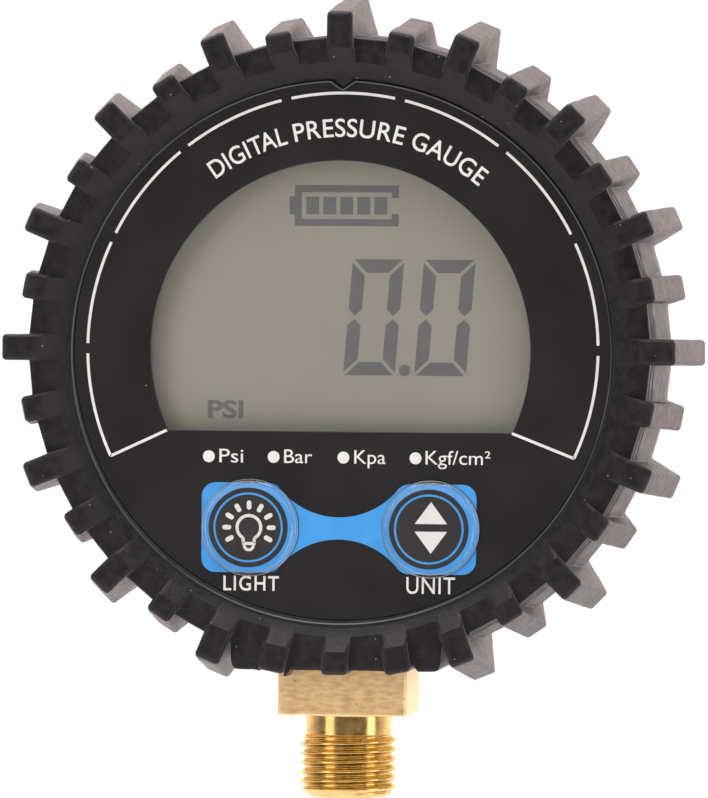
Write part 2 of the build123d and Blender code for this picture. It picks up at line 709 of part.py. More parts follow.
CHIP = (7.0, 7.0, 1.2)
CRYSTAL = (5.0, 2.0, 1.0)
CAPACITOR = (1.6, 0.8, 0.7)
CAPACITOR_SPOTS = [(-1.0, 4.0), (-1.0, 1.5), (9.0, 4.0), (9.0, 7.0), (9.0, 10.0), (-13.5, 4.0)]

with BuildPart() as main_board:
    with BuildSketch(facing(BOARD_BACK_Y)):
        Circle(BOARD_R)
        # Room for the stem's block, and above it for the sensor's socket.
        for width, top in ((BLOCK, BLOCK_TOP_Z + 0.5), (2 * SOCKET_R, SOCKET_TOP_Z + 0.9)):
            with Locations((0, top - HEAD_Z - BOARD_R / 2)):
                Rectangle(width + 1.0, BOARD_R, mode=Mode.SUBTRACT)
        with Locations(*CASE_SCREW_SPOTS):
            Circle(BEZEL_BOSS_R + 0.3, mode=Mode.SUBTRACT)
        with Locations(*BOARD_SCREW_SPOTS):
            Circle(BOARD_SCREW_SHANK_R + 0.15, mode=Mode.SUBTRACT)
    extrude(amount=BOARD_T)
main_board.part.label = "main_board"
export_step(main_board.part, "parts/main_board.step")

with BuildPart() as board_screws:
    with BuildSketch(facing(BOARD_BACK_Y + BOARD_SCREW_HEAD[1])):
        with Locations(*BOARD_SCREW_SPOTS):
            Circle(BOARD_SCREW_HEAD[0])
    extrude(amount=BOARD_SCREW_HEAD[1])
    with BuildSketch(facing(BOARD_BACK_Y)):
        with Locations(*BOARD_SCREW_SPOTS):
            Circle(BOARD_SCREW_SHANK_R)
    extrude(amount=BOARD_SCREW_LENGTH)
board_screws.part.label = "board_screws"
export_step(board_screws.part, "parts/board_screws.step")

with BuildPart() as controller_chip:
    with BuildSketch(facing(BOARD_BACK_Y + CHIP[2])):
        with Locations((-7.0, 7.0)):
            RectangleRounded(CHIP[0], CHIP[1], 0.4)
    extrude(amount=CHIP[2])
controller_chip.part.label = "controller_chip"
export_step(controller_chip.part, "parts/controller_chip.step")

with BuildPart() as timing_crystal:
    with BuildSketch(facing(BOARD_BACK_Y + CRYSTAL[2])):
        with Locations((2.5, 8.0)):
            SlotOverall(CRYSTAL[0], CRYSTAL[1])
    extrude(amount=CRYSTAL[2])
timing_crystal.part.label = "timing_crystal"
export_step(timing_crystal.part, "parts/timing_crystal.step")

with BuildPart() as chip_capacitors:
    with BuildSketch(facing(BOARD_BACK_Y + CAPACITOR[2])):
        with Locations(*CAPACITOR_SPOTS):
            Rectangle(CAPACITOR[0], CAPACITOR[1])
    extrude(amount=CAPACITOR[2])
chip_capacitors.part.label = "chip_capacitors"
export_step(chip_capacitors.part, "parts/chip_capacitors.step")

# ---------------------------------------------------------------- display

FRONT_GLASS_Y = LCD_FRONT_Y + FILM_T
REAR_GLASS_Y = FRONT_GLASS_Y + GLASS_T
REAR_FILM_Y = REAR_GLASS_Y + GLASS_T
GUIDE_Y = REAR_FILM_Y + FILM_T
GUIDE_BACK_Y = BOARD_FRONT_Y - 0.1

display_layers = (
    ("lcd_front_polariser", LCD_FRONT_Y, FRONT_GLASS_Y, GLASS_BOTTOM - LEDGE, -0.3),
    ("lcd_front_glass", FRONT_GLASS_Y, REAR_GLASS_Y, GLASS_BOTTOM, 0.0),
    ("lcd_rear_glass", REAR_GLASS_Y, REAR_FILM_Y, GLASS_BOTTOM - LEDGE, 0.0),
    ("lcd_rear_polariser", REAR_FILM_Y, GUIDE_Y, GLASS_BOTTOM - LEDGE, -0.3),
    ("backlight_guide", GUIDE_Y, GUIDE_BACK_Y, GLASS_BOTTOM - LEDGE, -1.3),
)
for name, front, back, bottom, grow in display_layers:
    with BuildPart() as layer:
        with BuildSketch(facing(back)):
            glass_outline(bottom=bottom, grow=grow)
        extrude(amount=back - front)
    layer.part.label = name
    export_step(layer.part, f"parts/{name}.step")

with BuildPart() as lcd_frame:
    with BuildSketch(facing(GUIDE_BACK_Y)):
        glass_outline(grow=FRAME_T)
        with BuildSketch(facing(GUIDE_BACK_Y), mode=Mode.SUBTRACT):
            glass_outline(grow=0.05)
    extrude(amount=GUIDE_BACK_Y - LCD_FRONT_Y)
lcd_frame.part.label = "lcd_frame"
export_step(lcd_frame.part, "parts/lcd_frame.step")

with BuildPart() as backlight_leds:
    with BuildSketch(facing(GUIDE_BACK_Y - 0.1)):
        with Locations((GLASS_HALF - 0.7, 1.0), (0.7 - GLASS_HALF, 1.0)):
            Rectangle(0.9, 3.0)
    extrude(amount=1.1)
backlight_leds.part.label = "backlight_leds"
export_step(backlight_leds.part, "parts/backlight_leds.step")

with BuildPart() as zebra_strip:
    with BuildSketch(facing(BOARD_FRONT_Y)):
        with Locations((0, -GLASS_BOTTOM + LEDGE / 2)):
            Rectangle(2 * GLASS_HALF - 5, LEDGE - 0.4)
    extrude(amount=BOARD_FRONT_Y - REAR_GLASS_Y)
zebra_strip.part.label = "zebra_strip"
export_step(zebra_strip.part, "parts/zebra_strip.step")

# ---------------------------------------------------------------- keys and switches

KEY_BACK_Y = SEAT_Y + 0.1
KEY_FRONT_Y = FACE_Y - KEY_PROUD
PLUNGER_END_Y = -6.35
SWITCH_TOP_Y = BOARD_FRONT_Y - 2.4
SWITCH_WELL = 1.4
SWITCH_PLUNGER_R = 1.2
SWITCH_PLUNGER_BACK_Y = SWITCH_TOP_Y + SWITCH_WELL - KEY_TRAVEL - 0.2

for name, (x, z) in KEY_SPOTS.items():
    with BuildPart() as key:
        with BuildSketch(facing(KEY_BACK_Y)):
            with Locations((x, z)):
                Circle(KEY_R)
        extrude(amount=KEY_BACK_Y - KEY_FRONT_Y)
        rim = key.faces().sort_by(Axis.Y)[0].edges()
        fillet(rim, radius=0.35)
        with BuildSketch(facing(PLUNGER_END_Y)):
            with Locations((x, z)):
                Circle(PLUNGER_R)
        extrude(amount=PLUNGER_END_Y - KEY_BACK_Y)
    key.part.label = f"{name}_key"
    export_step(key.part, f"parts/{name}_key.step")

    with BuildPart() as switch_body:
        with BuildSketch(facing(BOARD_FRONT_Y)):
            with Locations((x, z)):
                Rectangle(SWITCH_SIDE, SWITCH_SIDE)
        extrude(amount=BOARD_FRONT_Y - SWITCH_TOP_Y)
        with BuildSketch(facing(SWITCH_TOP_Y + SWITCH_WELL)):
            with Locations((x, z)):
                Circle(SWITCH_PLUNGER_R + 0.08)
        extrude(amount=SWITCH_WELL, mode=Mode.SUBTRACT)
    switch_body.part.label = f"{name}_switch_body"
    export_step(switch_body.part, f"parts/{name}_switch_body.step")

    with BuildPart() as switch_plunger:
        with BuildSketch(facing(SWITCH_PLUNGER_BACK_Y)):
            with Locations((x, z)):
                Circle(SWITCH_PLUNGER_R)
        extrude(amount=SWITCH_PLUNGER_BACK_Y - PLUNGER_END_Y)
    switch_plunger.part.label = f"{name}_switch_plunger"
    export_step(switch_plunger.part, f"parts/{name}_switch_plunger.step")
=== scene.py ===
import math
from math import cos, radians, sin

import bpy
from mathutils import Matrix, Vector, noise


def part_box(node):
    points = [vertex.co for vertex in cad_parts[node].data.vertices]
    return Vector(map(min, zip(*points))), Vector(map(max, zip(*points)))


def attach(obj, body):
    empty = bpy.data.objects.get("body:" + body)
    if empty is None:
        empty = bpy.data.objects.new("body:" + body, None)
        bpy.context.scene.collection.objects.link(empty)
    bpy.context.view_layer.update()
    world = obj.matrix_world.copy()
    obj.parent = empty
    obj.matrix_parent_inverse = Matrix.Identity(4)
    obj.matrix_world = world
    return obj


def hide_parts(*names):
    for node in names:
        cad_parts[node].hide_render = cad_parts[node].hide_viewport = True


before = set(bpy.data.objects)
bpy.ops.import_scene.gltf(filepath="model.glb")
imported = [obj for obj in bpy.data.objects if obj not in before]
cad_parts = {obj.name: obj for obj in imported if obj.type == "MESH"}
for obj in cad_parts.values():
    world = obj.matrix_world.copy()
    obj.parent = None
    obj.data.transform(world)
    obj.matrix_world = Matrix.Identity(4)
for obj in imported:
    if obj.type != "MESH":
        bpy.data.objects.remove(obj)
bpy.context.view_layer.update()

# A digital tyre pressure gauge in a lugged rubber boot. Shapes are worked out in millimetres and
# scaled to metres when a mesh is made. The dial has its own axes: x to the right and z up from the
# dial's centre, and y is the row's depth, so -y is towards the viewer.

MM = 0.001

overlay_low, overlay_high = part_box("face_overlay")
stem_low, stem_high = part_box("pressure_stem")
boot_low, boot_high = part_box("rubber_boot")
key_low, key_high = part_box("light_key")
OVERLAY_R = (overlay_high.x - overlay_low.x) / 2 / MM
FACE_Y = overlay_low.y / MM
DIAL_Z = overlay_low.z / MM + OVERLAY_R
LCD_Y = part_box("lcd_front_polariser")[0].y / MM
BOOT_FRONT = boot_low.y / MM
BOOT_BACK = boot_high.y / MM
KEY_R = (key_high.x - key_low.x) / 2 / MM
KEY_FRONT = key_low.y / MM
KEYS = {}
for key_name in ("light", "unit"):
    low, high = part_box(f"{key_name}_key")
    KEYS[key_name] = ((low.x + high.x) / 2 / MM, (low.z + high.z) / 2 / MM - DIAL_Z)


# ---------------------------------------------------------------- camera, light and stage

# The camera's aim is in dial millimetres, its turns are in degrees, and the rest is in metres.
CAMERA_AIM = (1.21, -4.73)
CAMERA_DISTANCE = 0.652
CAMERA_SWING = 6.2
CAMERA_ROLL = 0.5
CAMERA_LENS_MM = 305.7
LIGHT_AIM = (0, 0, 0.035)
FLOOR_HALF = 0.75
FLOOR_Z = -0.16


def make_camera():
    """A long lens at the dial's height, a little to the dial's right."""
    aim = Vector((CAMERA_AIM[0], FACE_Y, DIAL_Z + CAMERA_AIM[1])) * MM
    swing = radians(CAMERA_SWING)
    spot = aim + Vector((sin(swing), -cos(swing), 0)) * CAMERA_DISTANCE
    spot.z = DIAL_Z * MM
    data = bpy.data.cameras.new("camera")
    data.lens = CAMERA_LENS_MM
    data.sensor_width = 36.0
    data.clip_start = 0.05
    camera = bpy.data.objects.new("camera", data)
    camera.location = spot
    look = (aim - spot).to_track_quat("-Z", "Y").to_matrix()
    roll = Matrix.Rotation(radians(CAMERA_ROLL), 3, "Z")
    camera.rotation_mode = "QUATERNION"
    camera.rotation_quaternion = (look @ roll).to_quaternion()
    bpy.context.scene.collection.objects.link(camera)
    bpy.context.scene.camera = camera


def area_light(name, spot, size, power, colour=(1, 1, 1)):
    """A rectangular softbox at spot, in metres, turned towards the gauge's middle."""
    data = bpy.data.lights.new(name, "AREA")
    data.shape = "RECTANGLE"
    data.size, data.size_y = size
    data.energy = power
    data.color = colour
    light = bpy.data.objects.new(name, data)
    light.location = spot
    light.rotation_mode = "QUATERNION"
    light.rotation_quaternion = (Vector(LIGHT_AIM) - Vector(spot)).to_track_quat("-Z", "Y")
    bpy.context.scene.collection.objects.link(light)


def make_lights():
    area_light("left_softbox", (-0.75, -0.75, 0.35), (0.5, 0.9), 4.4)
    area_light("right_softbox", (0.85, -0.35, 0.3), (0.4, 0.9), 3.2)
    area_light("top_softbox", (-0.1, -0.15, 0.95), (0.9, 0.7), 13.0, colour=(0.96, 0.94, 1.0))


def make_world():
    """White behind for the camera; as light, bright behind and above the gauge and dim in front."""
    world = bpy.data.worlds.new("studio")
    bpy.context.scene.world = world
    world.use_nodes = True
    tree = world.node_tree
    nodes, links = tree.nodes, tree.links
    nodes.clear()
    out = nodes.new("ShaderNodeOutputWorld")
    seen = nodes.new("ShaderNodeBackground")
    seen.inputs["Color"].default_value = (1, 1, 1, 1)
    seen.inputs["Strength"].default_value = 1.05
    lit = nodes.new("ShaderNodeBackground")
    lit.inputs["Color"].default_value = (1.0, 0.88, 0.84, 1)
    where = nodes.new("ShaderNodeTexCoord")
    split = nodes.new("ShaderNodeSeparateXYZ")
    depth = range_node(tree, -0.25, 0.8, 0.2, 2.1)
    path = nodes.new("ShaderNodeLightPath")
    mix = nodes.new("ShaderNodeMixShader")
    links.new(where.outputs["Generated"], split.inputs["Vector"])
    links.new(split.outputs["Y"], depth.inputs["Value"])
    links.new(depth.outputs["Result"], lit.inputs["Strength"])
    links.new(path.outputs["Is Camera Ray"], mix.inputs["Fac"])
    links.new(lit.outputs["Background"], mix.inputs[1])
    links.new(seen.outputs["Background"], mix.inputs[2])
    links.new(mix.outputs["Shader"], out.inputs["Surface"])


def make_stage():
    """A pale floor well below the gauge, which hangs in the air as if held by its stem."""
    corners = [(x * FLOOR_HALF, y * FLOOR_HALF, FLOOR_Z) for x, y in ((-1, -1), (1, -1), (1, 1), (-1, 1))]
    mesh = bpy.data.meshes.new("floor")
    mesh.from_pydata(corners, [], [(0, 1, 2, 3)])
    mesh.materials.append(material("floor_paper", (0.93, 0.93, 0.93), (0.9, 0.9, 0.9), 3, (0.8, 0.9)))
    floor = show("floor", mesh)


# ---------------------------------------------------------------- materials


def range_node(tree, low, high, to_low, to_high):
    """A Map Range node that turns low into to_low and high into to_high."""
    node = tree.nodes.new("ShaderNodeMapRange")
    node.inputs["From Min"].default_value = low
    node.inputs["From Max"].default_value = high
    node.inputs["To Min"].default_value = to_low
    node.inputs["To Max"].default_value = to_high
    return node


def math_node(tree, operation, *values):
    """A Math node, with values in its inputs from the second on."""
    node = tree.nodes.new("ShaderNodeMath")
    node.operation = operation
    for index, value in enumerate(values, start=1):
        node.inputs[index].default_value = value
    return node


def noise_node(tree, vector, scale, detail):
    node = tree.nodes.new("ShaderNodeTexNoise")
    node.inputs["Scale"].default_value = scale
    node.inputs["Detail"].default_value = detail
    tree.links.new(vector, node.inputs["Vector"])
    return node


def material(
    name, colour, other, scale, rough, bump=0.0, bump_scale=0.0, metal=0.0, stretch=(1, 1, 1), dust=(),
    **sockets,
):
    """A surface whose colour and roughness wander between two values, with fine relief.

    scale and bump_scale are in repeats per metre, bump is the relief's depth in metres, stretch
    multiplies them along each axis, dust is (specks per metre, share of cells with one, radius in
    cells, colour), and sockets are values for the shader's own sockets, with _ for a space.
    """
    made = bpy.data.materials.new(name)
    made.use_nodes = True
    tree = made.node_tree
    nodes, links = tree.nodes, tree.links
    shader = nodes["Principled BSDF"]
    shader.inputs["Metallic"].default_value = metal
    for socket, value in sockets.items():
        shader.inputs[socket.replace("_", " ")].default_value = value
    where = nodes.new("ShaderNodeTexCoord")
    drawn = nodes.new("ShaderNodeMapping")
    drawn.inputs["Scale"].default_value = stretch
    links.new(where.outputs["Object"], drawn.inputs["Vector"])
    grain = noise_node(tree, drawn.outputs["Vector"], scale, 6)
    ramp = nodes.new("ShaderNodeValToRGB")
    ramp.color_ramp.elements[0].position = 0.35
    ramp.color_ramp.elements[1].position = 0.65
    ramp.color_ramp.elements[0].color = (*colour, 1)
    ramp.color_ramp.elements[1].color = (*other, 1)
    dull = range_node(tree, 0.3, 0.7, *rough)
    links.new(grain.outputs["Fac"], ramp.inputs["Fac"])
    links.new(ramp.outputs["Color"], shader.inputs["Base Color"])
    if dust:
        add_dust(tree, ramp.outputs["Color"], where.outputs["Object"], *dust)
    links.new(grain.outputs["Fac"], dull.inputs["Value"])
    links.new(dull.outputs["Result"], shader.inputs["Roughness"])
    if bump:
        fine = noise_node(tree, drawn.outputs["Vector"], bump_scale, 4)
        relief = nodes.new("ShaderNodeBump")
        relief.inputs["Distance"].default_value = bump
        links.new(fine.outputs["Fac"], relief.inputs["Height"])
        links.new(relief.outputs["Normal"], shader.inputs["Normal"])
    return made


def add_dust(tree, surface, where, scale, share, radius, colour):
    """Scatters small pale specks over a surface colour, one in some of the cells of a Voronoi texture."""
    nodes, links = tree.nodes, tree.links
    cells = nodes.new("ShaderNodeTexVoronoi")
    cells.inputs["Scale"].default_value = scale
    near = math_node(tree, "LESS_THAN", radius)
    pick = nodes.new("ShaderNodeSeparateColor")
    some = math_node(tree, "LESS_THAN", share)
    both = math_node(tree, "MULTIPLY")
    mix = nodes.new("ShaderNodeMix")
    mix.data_type = "RGBA"
    mix.inputs["B"].default_value = (*colour, 1)
    links.new(where, cells.inputs["Vector"])
    links.new(cells.outputs["Distance"], near.inputs[0])
    links.new(cells.outputs["Color"], pick.inputs["Color"])
    links.new(pick.outputs["Red"], some.inputs[0])
    links.new(near.outputs["Value"], both.inputs[0])
    links.new(some.outputs["Value"], both.inputs[1])
    links.new(both.outputs["Value"], mix.inputs["Factor"])
    links.new(surface, mix.inputs["A"])
    links.new(mix.outputs["Result"], nodes["Principled BSDF"].inputs["Base Color"])


def clear_material(name, waviness):
    """Clear plastic: what lies behind shows through, under a reflection that grows towards the edges."""
    made = bpy.data.materials.new(name)
    made.use_nodes = True
    tree = made.node_tree
    nodes, links = tree.nodes, tree.links
    nodes.clear()
    out = nodes.new("ShaderNodeOutputMaterial")
    through = nodes.new("ShaderNodeBsdfTransparent")
    through.inputs["Color"].default_value = (0.97, 0.975, 0.97, 1)
    gloss = nodes.new("ShaderNodeBsdfGlossy")
    gloss.inputs["Roughness"].default_value = 0.05
    edge = nodes.new("ShaderNodeLayerWeight")
    edge.inputs["Blend"].default_value = 0.5
    steep = math_node(tree, "POWER", 5.0)
    share = math_node(tree, "MULTIPLY_ADD", 0.9, 0.06)
    mix = nodes.new("ShaderNodeMixShader")
    where = nodes.new("ShaderNodeTexCoord")
    waves = noise_node(tree, where.outputs["Object"], 350, 2)
    relief = nodes.new("ShaderNodeBump")
    relief.inputs["Distance"].default_value = waviness
    links.new(waves.outputs["Fac"], relief.inputs["Height"])
    links.new(relief.outputs["Normal"], gloss.inputs["Normal"])
    links.new(relief.outputs["Normal"], edge.inputs["Normal"])
    links.new(edge.outputs["Facing"], steep.inputs[0])
    links.new(steep.outputs["Value"], share.inputs[0])
    links.new(share.outputs["Value"], mix.inputs["Fac"])
    links.new(through.outputs["BSDF"], mix.inputs[1])
    links.new(gloss.outputs["BSDF"], mix.inputs[2])
    links.new(mix.outputs["Shader"], out.inputs["Surface"])
    return made


# ---------------------------------------------------------------- making meshes


def place(x, z, y):
    """A point of the dial, in millimetres, as a point of the row frame in metres."""
    return Vector((x, y, z + DIAL_Z)) * MM


def finish_piece(piece, paint, body, stands_for=()):
    piece.data.materials.clear()
    piece.data.materials.append(paint)
    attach(piece, body)
    if stands_for:
        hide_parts(*stands_for)
    return piece


def show(name, mesh):
    piece = bpy.data.objects.new(name, mesh)
    bpy.context.scene.collection.objects.link(piece)
    return piece


def mesh_piece(name, points, faces, smooth=35):
    """A piece from points in metres. Edges sharper than smooth degrees stay sharp."""
    mesh = bpy.data.meshes.new(name)
    mesh.from_pydata([tuple(p) for p in points], [], faces)
    mesh.validate()
    mesh.polygons.foreach_set("use_smooth", [True] * len(mesh.polygons))
    mesh.set_sharp_from_angle(angle=radians(smooth))
    return show(name, mesh)


def grid_faces(rows, columns, start=0, wrap_rows=False):
    """Quads over a grid of points listed row by row, each row a closed ring."""
    faces = []
    for i in range(rows if wrap_rows else rows - 1):
        for j in range(columns):
            a = start + i * columns + j
            b = start + i * columns + (j + 1) % columns
            c = start + (i + 1) % rows * columns + (j + 1) % columns
            d = start + (i + 1) % rows * columns + j
            faces.append((a, b, c, d))
    return faces


def flat_piece(name, outlines, y_front, thickness, edge=0.0):
    """A thin plate facing the viewer, from closed outlines in dial millimetres; inner ones are holes."""
    data = bpy.data.curves.new(name, "CURVE")
    data.dimensions = "2D"
    data.fill_mode = "BOTH"
    data.extrude = (thickness / 2 - edge) * MM
    data.bevel_depth = edge * MM
    data.offset = -edge * MM
    for outline in outlines:
        spline = data.splines.new("POLY")
        spline.points.add(len(outline) - 1)
        for point, (x, z) in zip(spline.points, outline):
            point.co = (x * MM, z * MM, 0, 1)
        spline.use_cyclic_u = True
    return stand_up(name, drawn_mesh(data), y_front + thickness / 2)


def drawn_mesh(data):
    """The mesh that a curve or a text makes."""
    probe = show("probe", data)
    depsgraph = bpy.context.evaluated_depsgraph_get()
    mesh = bpy.data.meshes.new_from_object(probe.evaluated_get(depsgraph))
    bpy.data.objects.remove(probe)
    return mesh


def stand_up(name, mesh, y):
    """A piece from a flat mesh in dial metres, turned to face the viewer at depth y millimetres."""
    mesh.name = name
    mesh.transform(Matrix(((1, 0, 0, 0), (0, 0, -1, y * MM), (0, 1, 0, DIAL_Z * MM), (0, 0, 0, 1))))
    return show(name, mesh)


def circle(x, z, radius, start=0.0, end=360.0, steps=96):
    """Points on an arc, from start to end degrees; a whole circle doesn't repeat its first point."""
    count = steps if abs(end - start) == 360 else steps + 1
    step = (end - start) / steps
    angles = [radians(start + step * i) for i in range(count)]
    return [(x + radius * cos(a), z + radius * sin(a)) for a in angles]


def bar(x, z, length, width, degrees=0.0, round_ends=False):
    """A straight bar about (x, z), lying along the given direction."""
    along = (cos(radians(degrees)), sin(radians(degrees)))
    across = (-along[1], along[0])
    half, side = length / 2, width / 2
    if round_ends:
        outline = circle(half - side, 0, side, -90, 90, 12) + circle(side - half, 0, side, 90, 270, 12)
    else:
        outline = [(-half, -side), (half, -side), (half, side), (-half, side)]
    return [(x + u * along[0] + v * across[0], z + u * along[1] + v * across[1]) for u, v in outline]


# ---------------------------------------------------------------- rubber boot

LUG_COUNT = 32
LUG_STEP = 360 / LUG_COUNT
LUG_HALF = 1.25
LUG_EDGE = 0.4
LUG_CORNER = 0.5
LONG_TIP = 32.5
SHORT_TIP = 31.0
LUG_SWELL = 2.0
WAIST = BOOT_FRONT + 15
PANEL = BOOT_FRONT + 1.2
LIP_R = 26.45
RIM_R = 26.2
PANEL_R = 27.59
FUNNEL_R = 29.0
BODY_R = 30.0
BODY_SWELL = 0.8
BODY_FALL = 0.5
BORE_R = 27.95
BACK_LIP_R = 25.6
CHIN_DROP = 30.85
CHIN_HALF = 10.2
CHIN_SOFTNESS = 1.6
# The half angle that a lug's foot takes up, in degrees, and the width of its fillet beyond that.
FOOT_ANGLE = math.degrees(math.asin(LUG_HALF / BODY_R))
FOOT_FILLET = 0.2
# Lugs under the chin that are cut off level: direction, and how far below the dial's centre.
STUBS = {258.75: 31.0, 270.0: 31.25, 281.25: 31.0}
# The boot's opening sits off the dial's axis, and so does its outside from some radius on.
RIM_SHIFT = Vector((-0.15, 0, -0.3)) * MM
OUTSIDE_SHIFT = 0.25
OUTSIDE_FROM_R = 28.2
# Soft rubber's unevenness: its noise's seed, its waves per millimetre, and its size.
WANDER_SEED = 7
WANDER_SCALE = 0.28
WANDER = 0.05
# Between two lugs: share of the way from the panel to the body, and how far the edge has dropped.
VALLEY_FLOOR = (
    (0, 0), (0.1, 0), (0.3, 0), (0.5, 0), (0.7, 0), (0.85, 0), (0.95, 0),
    (0.985, 0.06), (1, 0.18), (1, 0.35),
)
# Depths behind the front where the sides have a row of points, in pairs at the mould steps.
SIDE_DEPTHS = (
    2.25, 2.35, 3.95, 4.05, 6.5, 9, 11.5, 13.5, 14.6, 15, 15.4, 16.5, 18.5, 20.95, 21.05, 23.5, 26, 28,
)
# Fine mould steps in the sleeve: depth behind the front, and rise.
MOULD_STEPS = ((2.3, 0.06), (4.0, 0.06), (21.0, -0.07))


def body_radius(y):
    """The sleeve between the lugs: it swells to the waist, with three fine mould steps."""
    if y < WAIST:
        radius = BODY_R + BODY_SWELL * (y - PANEL) / (WAIST - PANEL)
    else:
        radius = BODY_R + BODY_SWELL - BODY_FALL * (y - WAIST) / (BOOT_BACK - 1.2 - WAIST)
    return radius + sum(rise for depth, rise in MOULD_STEPS if y > BOOT_FRONT + depth)


def chin_radius(degrees):
    """How far out the body stands at an angle: the circle, or the flat-bottomed chin."""
    off = abs(radians(degrees - 270))
    if off > radians(32):
        return BODY_R
    flat = CHIN_DROP / cos(off)
    side = CHIN_HALF / max(sin(off), 0.01)
    nearer = -math.log(math.exp(-CHIN_SOFTNESS * flat) + math.exp(-CHIN_SOFTNESS * side)) / CHIN_SOFTNESS
    return max(BODY_R, nearer)


def valley_profile(degrees):
    """(radius, depth) along the boot between lugs, from the dial's lip round to the back."""
    chin = chin_radius(degrees)
    rows = []
    for share, drop in VALLEY_FLOOR:
        rows.append((PANEL_R + share * (chin - PANEL_R), PANEL + 0.15 * share + drop))
    for depth in SIDE_DEPTHS:
        y = BOOT_FRONT + depth
        rows.append((max(body_radius(y), chin), y))
    return rows


def foot_profile(degrees, raised):
    """valley_profile at a lug's foot, raised a little towards the lug."""
    rows = valley_profile(degrees)
    front = [(radius + raised * 0.5, y - raised * 0.4) for radius, y in rows[:8]]
    return front + [(radius + raised * 0.5, y) for radius, y in rows[8:]]


def lug_profile(tip, swell, inset):
    """The same rows as valley_profile over a lug, taken in by inset on every side."""
    rows = [
        (PANEL_R, PANEL),
        ((PANEL_R + FUNNEL_R) / 2, (PANEL + BOOT_FRONT) / 2),
        (FUNNEL_R, BOOT_FRONT),
        (FUNNEL_R + 0.3, BOOT_FRONT),
        (tip - LUG_CORNER - 0.15, BOOT_FRONT),
    ]
    for degrees in (0, 22, 45, 68, 90):
        rows.append((
            tip - LUG_CORNER + LUG_CORNER * sin(radians(degrees)),
            BOOT_FRONT + LUG_CORNER - LUG_CORNER * cos(radians(degrees)),
        ))
    fall = max(0.0, tip + swell - BODY_R - 0.2)
    for depth in SIDE_DEPTHS:
        y = BOOT_FRONT + depth
        if y < WAIST:
            radius = tip + swell * depth / (WAIST - BOOT_FRONT)
        else:
            radius = tip + swell - fall * (y - WAIST) / (BOOT_BACK - 1.4 - WAIST)
        rows.append((radius, y))
    return moved_in(rows, inset)


def moved_in(rows, inset):
    """Rows moved square to their own line, by the whole inset from the third row on."""
    moved = []
    for i, (radius, y) in enumerate(rows):
        before = rows[max(i - 1, 0)]
        after = rows[min(i + 1, len(rows) - 1)]
        along = Vector((after[0] - before[0], after[1] - before[1])).normalized()
        amount = inset * min(1.0, i / 2)
        moved.append((radius - along.y * amount, y + along.x * amount))
    return moved


def lug_size(index, direction):
    """(tip radius, swell at the waist): long and short lugs take turns, and stubs have no swell."""
    if direction in STUBS:
        return STUBS[direction] / -sin(radians(direction)), 0.0
    return (SHORT_TIP if index % 2 else LONG_TIP), LUG_SWELL


def lug_columns(direction, tip, swell):
    """Columns across a lug: fillet, one flank, rounded edge, crest and the same mirrored."""
    side = []
    for offset, raised in ((FOOT_FILLET, 0.0), (0.06, 0.05), (0.0, 0.18)):
        angle = direction - FOOT_ANGLE - math.degrees(offset / BODY_R)
        side.append((-LUG_HALF - offset, foot_profile(angle, raised)))
    for turn in (0, 25, 50, 70, 90):
        across = -LUG_HALF + LUG_EDGE * (1 - cos(radians(turn)))
        inset = LUG_EDGE * (1 - sin(radians(turn)))
        side.append((across, lug_profile(tip, swell, inset)))
    crest = side[-1][1]
    side.append((-LUG_HALF + LUG_EDGE + 0.12, crest))
    mirrored = [(-across, rows) for across, rows in reversed(side)]
    return [(direction, across, rows) for across, rows in [*side, (0.0, crest), *mirrored]]


def boot_columns():
    """Every column of the boot's grid: (direction in degrees, tangential offset, rows)."""
    columns = []
    edge = FOOT_ANGLE + math.degrees(FOOT_FILLET / BODY_R)
    for index in range(LUG_COUNT):
        direction = index * LUG_STEP
        columns += lug_columns(direction, *lug_size(index, direction))
        near_chin = 240 < direction < 300
        gaps = 12 if near_chin else 4
        for i in range(1, gaps):
            angle = direction + edge + (LUG_STEP - 2 * edge) * i / gaps
            columns.append((angle, 0.0, valley_profile(angle)))
    return columns


def boot_point(direction, across, radius, y):
    """A point of the boot, a little off centre outside and with soft rubber's unevenness."""
    a = radians(direction)
    shift = OUTSIDE_SHIFT * min(1.0, max(0.0, radius - OUTSIDE_FROM_R))
    x = radius * cos(a) - across * sin(a) - shift
    z = radius * sin(a) + across * cos(a)
    wander = noise.noise_vector(Vector((x, y, z)) * WANDER_SCALE) * WANDER
    return place(x + wander.x, z + wander.z, y + wander.y * 0.6)


def make_boot(paint):
    lip = [(LIP_R, FACE_Y - 0.05), (LIP_R, FACE_Y - 0.14), (LIP_R + 0.1, FACE_Y - 0.26)]
    heel = [(0.0, 1.4), (0.1, 0.9), (0.35, 0.35), (0.9, 0.0)]
    inside = [
        (BACK_LIP_R + 0.8, BOOT_BACK),
        (BACK_LIP_R + 0.2, BOOT_BACK - 0.15),
        (BACK_LIP_R, BOOT_BACK - 0.5),
        (BACK_LIP_R, BOOT_BACK - 0.8),
        (BORE_R, BOOT_BACK - 0.8),
        (BORE_R, FACE_Y - 0.05),
    ]
    columns = boot_columns()
    points = []
    noise.seed_set(WANDER_SEED)
    for direction, across, rows in columns:
        angle = direction + math.degrees(math.atan2(across, BODY_R))
        outside = max(body_radius(BOOT_BACK), chin_radius(angle))
        points += [boot_point(angle, 0.0, radius, y) + RIM_SHIFT for radius, y in lip]
        points += [boot_point(direction, across, radius, y) for radius, y in rows]
        points += [boot_point(angle, 0.0, outside - inset, BOOT_BACK - ahead) for inset, ahead in heel]
        points += [boot_point(angle, 0.0, radius, y) for radius, y in inside]
    per_column = len(points) // len(columns)
    faces = [face[::-1] for face in grid_faces(len(columns), per_column, wrap_rows=True)]
    boot = mesh_piece("boot", points, faces, smooth=30)
    finish_piece(boot, paint, "head", ["rubber_boot"])


# ---------------------------------------------------------------- brass stem

